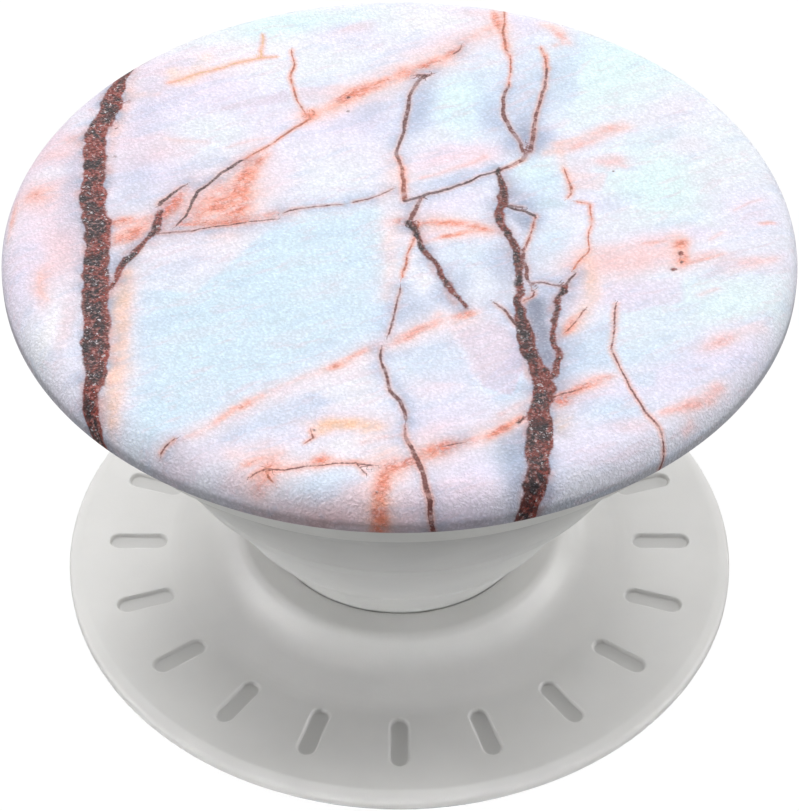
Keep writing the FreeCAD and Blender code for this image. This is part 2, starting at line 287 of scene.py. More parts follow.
# ------------------------------------------------------------------ the marble print
def smooth01(x):
    x = np.clip(x, 0.0, 1.0)
    return x * x * (3 - 2 * x)


def along(px, py, line):
    """Unsigned distance, signed distance and the line's third value at the nearest point."""
    best = np.full(len(px), 1e9)
    signed = np.zeros(len(px))
    extra = np.zeros(len(px))
    for (x0, y0, e0), (x1, y1, e1) in zip(line[:-1], line[1:]):
        dx, dy = x1 - x0, y1 - y0
        length2 = dx * dx + dy * dy
        t = np.clip(((px - x0) * dx + (py - y0) * dy) / length2, 0, 1)
        qx, qy = px - (x0 + t * dx), py - (y0 + t * dy)
        d = np.hypot(qx, qy)
        side = np.where(dx * qy - dy * qx > 0, 1.0, -1.0)
        near = d < best
        best = np.where(near, d, best)
        signed = np.where(near, side * d, signed)
        extra = np.where(near, e0 + t * (e1 - e0), extra)
    return best, signed, extra


def inside(px, py, corners):
    """Signed distance to a polygon, negative inside."""
    d = np.full(len(px), 1e9)
    odd = np.zeros(len(px), bool)
    n = len(corners)
    for i in range(n):
        (x0, y0), (x1, y1) = corners[i], corners[(i + 1) % n]
        dx, dy = x1 - x0, y1 - y0
        t = np.clip(((px - x0) * dx + (py - y0) * dy) / (dx * dx + dy * dy), 0, 1)
        d = np.minimum(d, np.hypot(px - (x0 + t * dx), py - (y0 + t * dy)))
        cross = (y0 > py) != (y1 > py)
        with np.errstate(divide="ignore", invalid="ignore"):
            at = (x1 - x0) * (py - y0) / (y1 - y0 + 1e-12) + x0
        odd ^= cross & (px < at)
    return np.where(odd, -d, d)


BLUE, PALE, LILAC, PINK = (207, 232, 250), (232, 243, 253), (231, 226, 246), (246, 219, 230)
CYAN, WHITE, SHADE, DUSK = (220, 247, 255), (248, 247, 254), (160, 178, 206), (128, 142, 170)
ORANGE, PEACH, CORAL, ROSE = (244, 146, 112), (251, 205, 172), (243, 172, 156), (240, 190, 190)
SAND = (250, 222, 196)

# Broad soft zones of the stone: x, y, half width, half height, turn, colour, strength.
ZONES = [
    (-17.5, 1.0, 3.0, 12.0, 0, (240, 222, 236), 0.7), (-17.0, 6.0, 2.0, 2.5, 20, ROSE, 0.32), (-18.0, 2.2, 1.4, 1.4, 0, CORAL, 0.3),
    (-16.6, 8.4, 1.0, 1.0, 30, PALE, 0.6), (-17.6, 4.0, 1.2, .5, 20, PALE, 0.5), (-16.4, 4.4, .7, .6, 0, SHADE, 0.3), (-16.5, .6, .6, 2.4, 0, SHADE, 0.3),
    (-16.8, -1.5, 1.6, 2.4, 0, ROSE, 0.22), (-17.2, -8.0, 1.6, 4.0, -10, PALE, 0.7), (-16.7, -7.2, .5, 1.9, -8, WHITE, 0.7),
    (-18.2, -4.0, 1.0, 2.6, 0, LILAC, 0.6), (-17.3, -4.6, .5, 1.6, 0, ROSE, 0.35),
    (-10.0, 9.0, 5.0, 5.0, 0, LILAC, 0.8), (-11.5, 13.5, 3.0, 2.5, 20, PINK, 0.55), (-8.0, 14.5, 4.0, 2.0, 15, WHITE, 0.7),
    (-5.5, 16.8, 4.5, 1.3, 6, CYAN, 0.95), (-11.0, 15.2, 2.0, .8, 25, PALE, 0.9), (-3.0, 15.5, 2.0, 1.4, 0, LILAC, 0.8),
    (-2.4, 16.4, .9, .5, 20, ROSE, 0.35), (-4.0, 13.0, 3.0, 2.0, 20, PALE, 0.7),
    (-11.5, 8.6, 2.3, 1.5, 0, LILAC, 0.7), (-10.0, 7.4, 2.2, 1.6, 10, PALE, 0.9), (-13.4, 6.0, 1.4, 2.0, 0, PINK, 0.5),
    (-11.8, 5.6, 1.6, 1.4, 0, ROSE, 0.28), (-9.5, 5.4, 2.2, 1.2, 30, PALE, 0.75), (-11.8, 3.4, 1.8, 1.4, 0, LILAC, 0.9),
    (-13.3, 3.0, .9, 2.2, 0, SHADE, 0.28), (-13.2, 9.4, .9, 2.6, 0, SHADE, 0.2),
    (-4.0, 5.0, 2.8, 3.0, 0, LILAC, 0.45), (-3.2, 3.6, 2.4, 1.8, 0, PALE, 0.9), (-6.2, 3.4, 1.0, 2.2, 0, PINK, 0.6),
    (-2.4, 8.4, 2.2, 2.2, 30, LILAC, 0.8), (-1.4, 10.2, .9, 2.4, -5, SHADE, 0.4),
    (-8.0, -5.0, 5.0, 6.5, 0, BLUE, 0.95), (-4.0, -4.0, 3.6, 5.0, 0, CYAN, 0.6), (-10.6, -8.5, 2.5, 4.0, 0, CYAN, 0.5),
    (-10.2, -2.4, 2.0, 1.6, 0, LILAC, 0.75), (-8.0, -2.0, 1.0, 1.4, 40, WHITE, 0.55), (-12.0, -9.0, 1.0, 4.0, 0, LILAC, 0.5),
    (-2.0, -7.5, 1.8, 2.4, 0, LILAC, 0.35), (-10.6, -13.4, 3.0, 1.8, 30, BLUE, 0.8), (-4.0, -14.4, 3.6, 1.6, 25, LILAC, 0.6),
    (-6.4, -14.4, 2.4, 1.0, 30, BLUE, 0.55), (-1.6, -11.4, 1.2, 1.4, 30, WHITE, 0.6), (-1.8, -16.0, 1.8, 1.0, 15, WHITE, 0.7),
    (-9.2, -16.4, 2.4, 1.0, 30, PINK, 0.5), (-3.6, -18.6, 2.0, .9, 10, BLUE, 0.7), (-7.5, -14.9, 2.6, .8, 32, (202, 219, 240), 0.65), (-4.6, -13.4, 1.3, .5, 32, (206, 220, 240), 0.5), (-1.8, -18.9, 1.0, .7, 0, ROSE, 0.35),
    (-6.8, -18.0, 1.2, .9, 20, ROSE, 0.35),
    (3.4, 10.6, 2.2, 3.4, 5, BLUE, 0.8), (2.8, 10.0, 1.2, 2.4, 5, CYAN, 0.8), (1.4, 10.2, .6, 2.6, -10, SHADE, 0.35),
    (2.4, 17.4, 2.6, 1.2, 0, WHITE, 0.6), (4.2, 17.9, 1.4, .5, -20, ROSE, 0.3), (2.6, 15.4, 2.6, .8, 30, PINK, 0.5),
    (7.0, 16.8, 1.4, 1.0, -20, LILAC, 0.8), (6.8, 12.8, .9, 3.2, 0, SHADE, 0.2), (6.7, 9.6, .8, 2.0, 0, SHADE, 0.32),
    (12.0, 12.5, 4.0, 4.5, -30, CYAN, 1.0), (8.7, 12.6, .7, 3.0, -5, SHADE, 0.28), (9.4, 14.6, .9, 1.0, 0, BLUE, 0.6),
    (15.2, 9.0, 3.2, 4.0, 20, PALE, 0.8), (14.2, 9.2, 2.4, 1.4, 20, PINK, 0.3), (13.0, 3.0, 3.0, 3.0, 0, CYAN, 0.9),
    (16.6, 4.6, 2.0, 3.0, 0, PALE, 0.8), (15.0, 6.2, 1.0, .9, 0, ROSE, 0.15), (17.4, 1.0, 1.6, 2.2, 0, LILAC, 0.55),
    (3.0, 5.2, 3.0, .9, 15, PINK, 0.75), (8.8, 6.2, 1.6, .6, 10, ROSE, 0.35), (10.8, 7.4, 1.2, .6, 25, CORAL, 0.25),
    (2.4, 3.4, 1.8, .5, 20, SHADE, 0.3), (2.6, 1.6, 2.0, 1.0, 15, LILAC, 0.7), (7.0, 4.4, 1.4, 1.6, 0, CYAN, 0.8),
    (7.6, 2.8, 1.4, 1.6, 0, BLUE, 0.7), (9.2, 3.6, .7, 1.4, 0, ROSE, 0.3), (10.8, 4.8, 1.0, .5, 0, ROSE, 0.35),
    (9.6, 1.4, 1.6, 1.0, 0, LILAC, 0.6), (6.4, 1.4, .8, .8, 0, SHADE, 0.45), (7.6, 1.4, 1.0, .5, 0, (196, 222, 232), 0.6),
    (3.4, -2.2, 1.4, 1.8, 0, BLUE, 0.6), (4.8, -3.0, .6, 2.2, 0, SHADE, 0.28), (4.0, -4.6, 1.6, 1.4, 0, PALE, 0.6),
    (2.2, -1.0, 1.8, .5, 5, PINK, 0.6), (.7, -3.2, .5, 2.0, 15, WHITE, 0.5), (2.9, -4.2, .7, 1.0, 30, SHADE, 0.35),
    (7.4, -2.0, 1.0, 2.2, 0, BLUE, 0.7), (10.8, -3.0, 2.4, 1.1, 5, ROSE, 0.5), (12.6, -1.6, 1.6, .7, 20, PINK, 0.7),
    (13.8, -2.4, .45, 1.1, 0, CORAL, 0.55), (15.0, -2.7, .8, .3, 25, ROSE, 0.6), (14.8, -1.0, .7, .5, 0, LILAC, 0.7),
    (11.4, -5.6, 2.4, .9, 5, LILAC, 0.9), (8.2, -5.8, .7, 1.1, 0, ROSE, 0.3), (15.6, -6.0, 3.0, 2.4, 0, CYAN, 0.7),
    (17.0, -3.2, 1.8, .6, 15, ROSE, 0.4), (12.0, -9.2, 2.2, 2.2, 0, BLUE, 0.8), (15.4, -9.6, 2.4, 1.6, 20, LILAC, 0.8),
    (15.0, -9.0, .9, .5, 35, ROSE, 0.3), (8.6, -9.4, 1.4, 1.8, 0, BLUE, 0.85), (9.4, -12.6, 1.6, 1.2, 20, LILAC, 0.8),
    (9.8, -13.6, 1.2, 1.0, 0, BLUE, 0.7), (8.8, -16.0, 2.6, 1.4, 15, LILAC, 0.7), (10.6, -14.6, 1.0, .5, 0, ROSE, 0.3),
    (12.6, -11.6, 2.0, 1.4, 20, LILAC, 0.7),
    (.7, -6.4, .9, .9, 0, SHADE, 0.35), (1.2, -10.0, 1.6, 1.6, 0, BLUE, 0.75), (3.4, -8.2, 1.2, 1.2, 0, ROSE, 0.25),
    (4.6, -9.6, 1.4, 1.6, 0, LILAC, 0.9), (2.2, -11.6, 1.8, .8, 20, PINK, 0.45), (2.4, -13.8, 2.6, 1.2, 15, LILAC, 0.7),
    (5.0, -12.2, 1.0, 1.4, 0, BLUE, 0.7), (3.0, -17.6, 2.2, 1.4, 0, LILAC, 0.9), (5.0, -16.0, .9, 1.4, 0, (190, 205, 222), 0.7),
    (5.6, -18.0, .5, 1.6, 10, SHADE, 0.35), (2.6, -18.8, 2.0, .7, 0, PINK, 0.45), (1.6, -15.2, 1.4, .6, 20, PINK, 0.5),
    (6.6, -6.4, .6, .8, 0, DUSK, 0.85), (6.8, -8.4, .5, 1.0, 0, DUSK, 0.5), (6.3, .2, .5, .9, 0, DUSK, 0.7), (-16.6, -2.8, .8, 1.8, 0, ROSE, 0.35), (-16.1, -7.4, .4, 2.4, -4, ROSE, 0.3), (7.5, -4.9, .6, .6, 0, SHADE, 0.5), (6.95, -10.2, .5, 1.0, 0, DUSK, 0.95),
    (7.5, -12.0, .5, .8, 0, (150, 170, 192), 0.7), (6.5, 7.0, .55, 1.3, 0, DUSK, 0.95), (6.0, 6.5, .8, 1.0, -20, SHADE, 0.65),
    (7.4, 6.8, .5, 1.0, 0, SHADE, 0.5), (5.7, 1.8, .6, 1.0, 0, DUSK, 0.6), (8.1, -9.2, .5, 1.6, 0, SHADE, 0.55), (7.9, -6.4, .5, .9, 0, SHADE, 0.5), (5.0, 8.6, .7, 1.6, 10, SHADE, 0.4), (.9, 9.4, .7, 2.2, -8, SHADE, 0.45),
    (5.3, -16.4, .8, 2.4, 5, (150, 166, 190), 0.55), (5.1, -3.6, .6, 1.6, 0, SHADE, 0.4), (2.4, -5.4, .7, .9, 35, SHADE, 0.45),
    (-4.0, -20.4, 3.2, 1.2, 0, ROSE, 0.6), (.8, -20.2, 2.6, 1.2, 0, PINK, 0.7), (3.2, -20.2, 1.6, 1.2, 0, LILAC, 0.6), (7.4, -14.2, .6, 1.2, 15, (196, 192, 196), 0.5),
]

# Straight-edged facets: corners, colour, strength, softness of the edge in mm.
FACETS = [
    ([(-9.9, -5.2), (-8.9, -3.9), (-7.6, -2.2), (-6.7, -.9), (-5.0, .2), (-1.2, 1.2), (-.6, -4.0), (-.9, -8.6), (-3.4, -10.2), (-7.2, -12.9), (-11.2, -15.6), (-12.8, -12.0), (-12.9, -7.0)], (212, 236, 252), 0.6, 0.10),
    ([(2.75, -8.2), (3.45, -10.0), (3.95, -12.1), (5.2, -12.6), (5.9, -10.6), (5.4, -8.4), (4.2, -7.4)], (220, 204, 224), 0.55, 0.07),
    ([(4.3, -15.2), (4.9, -15.9), (5.4, -17.0), (5.6, -18.6), (5.75, -19.8), (6.2, -17.5), (6.0, -14.9), (5.2, -14.6)], (172, 190, 214), 0.65, 0.10),
    ([(-4.4, -12.2), (-1.6, -10.0), (-1.1, -11.8), (-.5, -13.0), (-2.6, -13.4)], (236, 242, 252), 0.6, 0.12),
    ([(-6.6, -14.2), (-3.9, -12.6), (-2.9, -13.6), (-5.4, -14.9)], (202, 218, 238), 0.4, 0.25),
    ([(-6.8, -.6), (-1.0, .6), (-.6, -7.5), (-1.4, -9.4), (-7.4, -13.2), (-11.6, -15.6), (-12.4, -10), (-12.6, -4), (-10.4, -5.4)], BLUE, 0.55, 0.35),
    ([(-10.0, -5.4), (-8.6, -3.6), (-7.4, -1.8), (-6.6, -.5), (-12.2, -1.2), (-12.9, -2.4), (-12.9, -5.0)], (234, 236, 246), 0.6, 0.22),
    ([(-6.8, 2.6), (-4.4, 1.5), (-.8, 2.6), (-.6, 6.0), (-2.4, 7.4), (-6.2, 6.4)], (236, 236, 248), 0.45, 0.3),
    ([(-5.4, .3), (-2.0, 1.2), (-1.0, 1.4), (-.4, -2.4), (-.8, -4.4), (-4.6, -2.2)], (208, 232, 244), 0.5, 0.25),
    ([(-9.6, 9.4), (-6.0, 10.9), (-5.6, 10.4), (-5.9, 9.9), (-9.2, 9.2)], (218, 208, 224), 0.6, 0.15),
    ([(-5.4, 11.2), (-2.4, 11.5), (-3.4, 10.4), (-5.2, 10.0)], (226, 210, 220), 0.6, 0.15),
    ([(-11.0, 3.2), (-8.6, 5.2), (-9.6, 6.0), (-12.0, 3.9)], (212, 216, 232), 0.4, 0.2),
    ([(2.6, -8.0), (3.7, -11.4), (3.9, -11.9), (5.4, -9.6), (5.2, -7.9), (3.9, -7.3)], (228, 220, 232), 0.7, 0.12),
    ([(2.3, -8.0), (3.7, -12.0), (1.2, -11.6), (-.3, -9.4), (.6, -8.8)], (214, 226, 244), 0.6, 0.12),
    ([(-3.6, -13.6), (-1.6, -11.6), (-.6, -12.6), (.2, -14.6), (-1.8, -14.0)], (240, 240, 249), 0.6, 0.2),
    ([(10.4, -6.9), (14.6, -6.0), (14.0, -8.8), (11.0, -9.6), (10.2, -8.6)], (224, 238, 250), 0.65, 0.14),
    ([(10.8, -11.0), (12.1, -11.0), (11.9, -12.0), (11.2, -12.0)], (206, 224, 240), 0.55, 0.14),
    ([(10.0, -4.6), (13.8, -4.2), (13.6, -6.0), (10.4, -6.8)], (226, 220, 236), 0.6, 0.2),
    ([(0.1, -6.0), (1.3, -6.2), (1.7, -7.2), (.6, -8.0), (-.1, -7.6)], (204, 212, 228), 0.6, 0.15),
    ([(4.5, -15.7), (5.2, -17.2), (5.5, -18.8), (6.1, -19.4), (6.1, -14.6), (5.2, -14.7)], (164, 178, 200), 0.75, 0.12),
    ([(8.3, 4.1), (10.6, 3.9), (10.2, 2.6), (9.0, 2.7), (8.6, 3.2)], (240, 222, 226), 0.6, 0.15),
    ([(6.15, -5.5), (6.9, -5.9), (7.15, -8.2), (7.15, -9.6), (7.0, -11.0), (6.7, -11.4), (6.5, -9.6), (6.2, -7.6)], (122, 130, 148), 0.7, 0.16),
    ([(8.2, -7.9), (9.9, -7.2), (9.9, -10.4), (8.2, -11.4), (7.8, -9.6)], (206, 222, 240), 0.5, 0.2),
]

# Warm streaks: points (x, y, half width), colour, strength, how broken up they are.
STREAKS = [
    ([(-4.8, 8.7, .28), (-3.6, 9.5, .34), (-2.4, 10.5, .45), (-1.3, 11.3, .42), (.2, 12.2, .38), (1.0, 12.8, .5), (1.8, 13.2, .5), (2.6, 14.0, .36)], ORANGE, 0.75, 0.75),
    ([(-5.0, 8.5, .5), (-2.4, 10.4, .9), (.2, 12.2, .9), (2.2, 13.8, .9), (3.6, 15.4, .6), (5.2, 16.6, .5)], (249, 203, 190), 0.65, 0.35),
    ([(2.6, 14.0, .3), (3.4, 15.2, .3), (4.4, 16.0, .35), (5.3, 16.5, .45), (5.4, 17.2, .3)], CORAL, 0.75, 0.6),
    ([(5.4, 18.2, .25), (5.5, 17.2, .3), (5.6, 16.2, .26), (5.7, 15.2, .28), (5.9, 14.2, .2)], (240, 160, 110), 0.75, 0.5),
    ([(8.5, 16.5, .16), (8.8, 15.9, .2), (8.8, 15.2, .25), (8.4, 14.9, .15)], (247, 176, 146), 0.75, 0.5),
    ([(7.9, 17.0, .3), (8.5, 16.5, .3)], PEACH, 0.5, 0.5),
    ([(-7.1, 5.4, .25), (-7.6, 4.4, .45), (-7.9, 3.2, .55), (-8.1, 2.2, .8), (-8.6, 1.4, .9)], ORANGE, 0.85, 0.5),
    ([(-8.6, 4.2, .2), (-9.0, 3.0, .5), (-9.4, 1.9, .8), (-9.2, .8, .7)], CORAL, 0.8, 0.5),
    ([(-8.0, 4.8, .5), (-8.8, 2.6, 1.2), (-9.4, .6, 1.0)], (248, 190, 172), 0.7, 0.25),
    ([(-11.9, 1.1, .3), (-11.4, 1.9, .4), (-10.8, 2.4, .2)], ORANGE, 0.8, 0.4),
    ([(-11.6, .9, .4), (-11.0, 1.4, .45)], ORANGE, 0.75, 0.4),
    ([(-12.0, -.5, .35), (-10.6, -.1, .5), (-9.2, .2, .45), (-7.6, .5, .3), (-6.4, .6, .2)], (246, 160, 130), 0.8, 0.6),
    ([(-14.0, -.1, .3), (-13.3, -.7, .45), (-12.8, -.6, .35)], (246, 156, 128), 0.8, 0.5),
    ([(-14.2, -.3, .7), (-12.9, -.2, .8), (-11, .2, .8)], (250, 210, 204), 0.6, 0.2),
    ([(-13.9, -1.5, .2), (-13.0, -1.1, .2), (-12.2, -1.6, .25)], ROSE, 0.6, 0.3),
    ([(-13.4, -3.9, .25), (-13.5, -5.6, .35), (-13.4, -7.4, .33), (-13.3, -9.2, .36), (-13.2, -10.8, .45), (-13.4, -12.6, .4), (-13.4, -14.2, .35)], PEACH, 0.95, 0.35),
    ([(-13.55, -8.8, .12), (-13.4, -10.4, .16), (-13.5, -12.0, .14)], (244, 170, 128), 0.55, 0.6),
    ([(-12.7, -1.9, .15), (-13.2, -3.2, .16), (-13.6, -4.2, .2)], PEACH, 0.7, 0.4),
    ([(-11.0, -16.2, .14), (-9.4, -15.3, .2), (-8.3, -14.4, .22), (-7.3, -13.5, .26), (-6.8, -12.9, .3)], (247, 172, 150), 0.48, 0.6),
    ([(-11.0, -16.2, .3), (-8.6, -14.7, .5), (-6.4, -13.0, .55), (-4.6, -11.8, .5), (-2.4, -10.4, .6), (0, -8.9, .5), (1.8, -7.9, .5), (3.2, -7.1, .5)], (248, 230, 234), 0.5, 0.3),
    ([(-6.0, -12.4, .14), (-4.6, -11.4, .12), (-3.2, -10.6, .28), (-2.0, -10.0, .14), (-1.6, -9.6, .16)], CORAL, 0.42, 0.75),
    ([(-1.4, -9.4, .25), (0.2, -8.6, .3), (1.6, -7.6, .26), (1.9, -6.9, .2)], (248, 190, 178), 0.65, 0.5),
    ([(2.7, -7.5, .12), (3.3, -7.1, .2), (3.6, -7.0, .1), (3.2, -6.5, .14)], (245, 160, 118), 0.8, 0.4),
    ([(-3.8, -15.0, .3), (-3.2, -14.5, .4), (-2.2, -14.6, .34), (-1.2, -14.9, .4)], PEACH, 0.85, 0.5),
    ([(-6.9, -17.3, .25), (-6.2, -17.0, .3), (-5.4, -16.5, .2)], CORAL, 0.6, 0.7),
    ([(-6.4, -17.8, .25), (-5.6, -17.5, .3), (-4.4, -17.2, .16), (-3.6, -17.0, .3), (-2.6, -17.0, .16), (-1.4, -17.2, .16), (-.2, -16.9, .2)], (240, 150, 116), 0.65, 0.75),
    ([(-7.6, -16.6, .3), (-6.2, -16.6, .6), (-5.0, -17.4, .6), (-6.2, -18.4, .5)], (246, 206, 200), 0.6, 0.3),
    ([(-3.9, -17.4, .12), (-3.6, -16.9, .3), (-3.4, -16.6, .12)], (238, 128, 88), 0.8, 0.4),
    ([(-1.6, -15.9, .12), (-.6, -15.5, .14), (.2, -15.2, .12)], CORAL, 0.5, 0.6),
    ([(-.6, -17.1, .4), (-.3, -18.0, .5), (-.9, -18.9, .45), (-.9, -20.2, .4), (-1.0, -21.0, .4)], (247, 170, 138), 0.9, 0.45),
    ([(-1.0, -18.8, .14), (-1.1, -20.0, .16), (-1.2, -21.0, .16)], (236, 128, 92), 0.8, 0.3),
    ([(-.2, -17.4, .3), (.5, -17.0, .3), (1.0, -16.6, .14)], (244, 146, 112), 0.8, 0.5),
    ([(1.3, -16.6, .3), (1.8, -16.2, .36), (2.6, -15.9, .2), (3.0, -15.7, .12)], (245, 152, 118), 0.85, 0.5),
    ([(-.4, -17.2, .8), (1.6, -16.4, .8), (3.0, -15.8, .4)], (249, 214, 208), 0.6, 0.2),
    ([(4.1, -15.4, .2), (4.8, -14.9, .26), (5.4, -14.3, .16), (6.1, -13.7, .16)], (246, 156, 122), 0.85, 0.5),
    ([(3.8, -15.3, .4), (5.2, -14.3, .5), (6.1, -13.7, .3)], (248, 206, 196), 0.6, 0.2),
    ([(4.6, -13.9, .12), (5.4, -13.4, .16), (6.2, -13.1, .14)], ROSE, 0.6, 0.5),
    ([(7.0, -12.9, .22), (7.5, -12.7, .36), (8.2, -12.2, .2), (9.2, -11.6, .22)], (245, 152, 128), 0.8, 0.55),
    ([(7.2, -13.0, .5), (8.6, -12.2, .5), (9.6, -11.6, .3)], (249, 206, 200), 0.6, 0.2),
    ([(7.0, -14.0, .25), (7.3, -14.8, .2)], SAND, 0.7, 0.4),
    ([(0.1, .1, .3), (1.4, -.1, .35), (2.8, -.1, .28), (4.4, -.5, .2)], (247, 166, 140), 0.8, 0.5),
    ([(2.2, -1.2, .12), (3.2, -.9, .18), (4.2, -.6, .14)], (246, 158, 128), 0.75, 0.5),
    ([(0.4, .2, .7), (2.6, -.4, .7), (4.2, -.6, .4)], (249, 210, 200), 0.6, 0.2),
    ([(.1, 4.8, .2), (.2, 3.4, .16), (.2, 2.2, .26), (.4, 1.7, .2)], (240, 150, 128), 0.7, 0.5),
    ([(-.3, 5.4, .4), (-.2, 3.6, .4), (-.6, 2.4, .5), (-1.0, 1.8, .3)], (250, 220, 214), 0.6, 0.3),
    ([(-.2, -.2, .3), (-.5, -1.4, .3), (-.4, -3.4, .3), (-.6, -5.6, .3)], (250, 224, 220), 0.7, 0.5),
    ([(9.2, -2.6, .4), (9.2, -4.2, .45), (9.4, -5.4, .35), (8.9, -6.8, .3), (8.2, -7.9, .3), (7.9, -8.3, .2)], (250, 204, 178), 0.9, 0.45),
    ([(8.4, -3.4, .4), (9.6, -3.0, .6), (11.4, -2.6, .7), (13.2, -2.4, .5)], (246, 206, 204), 0.75, 0.35),
    ([(8.0, -8.0, .3), (8.2, -7.7, .2)], (246, 160, 120), 0.7, 0.3),
    ([(13.8, -1.2, .18), (13.9, -2.2, .24), (13.8, -3.3, .24)], (246, 170, 144), 0.8, 0.4),
    ([(12.4, -1.7, .14), (13.4, -1.2, .2), (13.9, -1.4, .16)], CORAL, 0.55, 0.5),
    ([(14.4, -3.2, .14), (15.2, -2.8, .16), (15.9, -2.5, .12)], CORAL, 0.6, 0.4),
    ([(16.8, -3.2, .16), (17.6, -3.0, .2), (18.4, -2.8, .14)], (246, 194, 190), 0.5, 0.4),
    ([(12.2, -13.9, .2), (13.2, -13.4, .34), (14.2, -12.8, .26), (15.0, -12.0, .26)], (244, 176, 168), 0.8, 0.45),
    ([(13.3, -14.7, .18), (13.6, -14.2, .18)], (244, 176, 168), 0.6, 0.3),
    ([(14.6, -9.3, .22), (15.2, -8.9, .32), (15.8, -8.6, .16)], (242, 180, 176), 0.75, 0.4),
    ([(15.6, -8.4, .3), (17.4, -7.8, .3)], (243, 216, 222), 0.6, 0.3),
    ([(8.0, 6.3, .2), (9.2, 6.7, .24), (10.2, 7.1, .22), (11.6, 7.9, .3)], (248, 196, 184), 0.7, 0.55),
    ([(7.4, 5.6, .2), (8.2, 5.8, .2), (8.3, 5.0, .2), (8.4, 4.2, .16)], (248, 196, 180), 0.6, 0.5),
    ([(10.3, 4.9, .2), (11.2, 4.8, .26), (11.6, 4.4, .14)], (242, 184, 184), 0.5, 0.4),
    ([(1.0, 3.6, .12), (2.4, 4.1, .1), (3.4, 4.6, .12), (4.4, 5.3, .16)], (240, 176, 170), 0.6, 0.5),
    ([(-12.1, 12.6, .3), (-11.8, 11.6, .3), (-11.0, 12.0, .35), (-10.4, 13.8, .3)], SAND, 0.6, 0.5),
    ([(-11.0, 12.0, .2), (-9.6, 13.0, .2), (-8.0, 13.6, .2)], SAND, 0.7, 0.5),
    ([(-13.8, 10.6, .3), (-12.8, 10.7, .25)], (248, 206, 190), 0.4, 0.5),
    ([(-14.2, 12.5, .2), (-14.1, 11.4, .2), (-14.3, 10.0, .25), (-14.6, 8.6, .3), (-14.7, 7.2, .25)], (246, 200, 190), 0.75, 0.4),
    ([(-17.0, 6.6, .2), (-16.4, 6.9, .22), (-16.1, 6.6, .2)], (240, 160, 150), 0.7, 0.4),
    ([(-18.6, 1.8, .3), (-18.2, 2.4, .3), (-17.6, 2.5, .2)], (246, 176, 150), 0.6, 0.5),
    ([(-16.0, 8.8, .14), (-16.2, 9.3, .12)], (236, 160, 150), 0.5, 0.2),
    ([(-19.4, 1.4, .14), (-19.5, .2, .16), (-19.6, -1.0, .12)], (240, 170, 130), 0.6, 0.4),
    ([(-17.5, -3.9, .12), (-17.3, -5.2, .14), (-17.0, -5.8, .12)], (246, 190, 168), 0.6, 0.5),
    ([(16.8, 1.0, .06), (17.5, 1.5, .07), (18.2, 1.8, .06)], (236, 176, 176), 0.5, 0.3),
    ([(-8.9, 6.0, .08), (-8.2, 6.4, .1), (-7.6, 6.7, .08), (-6.6, 6.9, .06)], (236, 190, 190), 0.5, 0.4),
    ([(-12.2, 6.9, .08), (-11.2, 6.6, .08), (-10.0, 6.5, .06)], (244, 206, 200), 0.5, 0.4),
    ([(14.6, -5.5, .12), (15.4, -5.0, .1)], ROSE, 0.5, 0.4),
    ([(15.4, -1.4, .1), (16.0, -.8, .1)], ROSE, 0.5, 0.4),
    ([(-5.6, 1.0, .12), (-4.9, 1.2, .12), (-5.2, .7, .2), (-6.6, .8, .12)], (246, 170, 140), 0.5, 0.5),
]

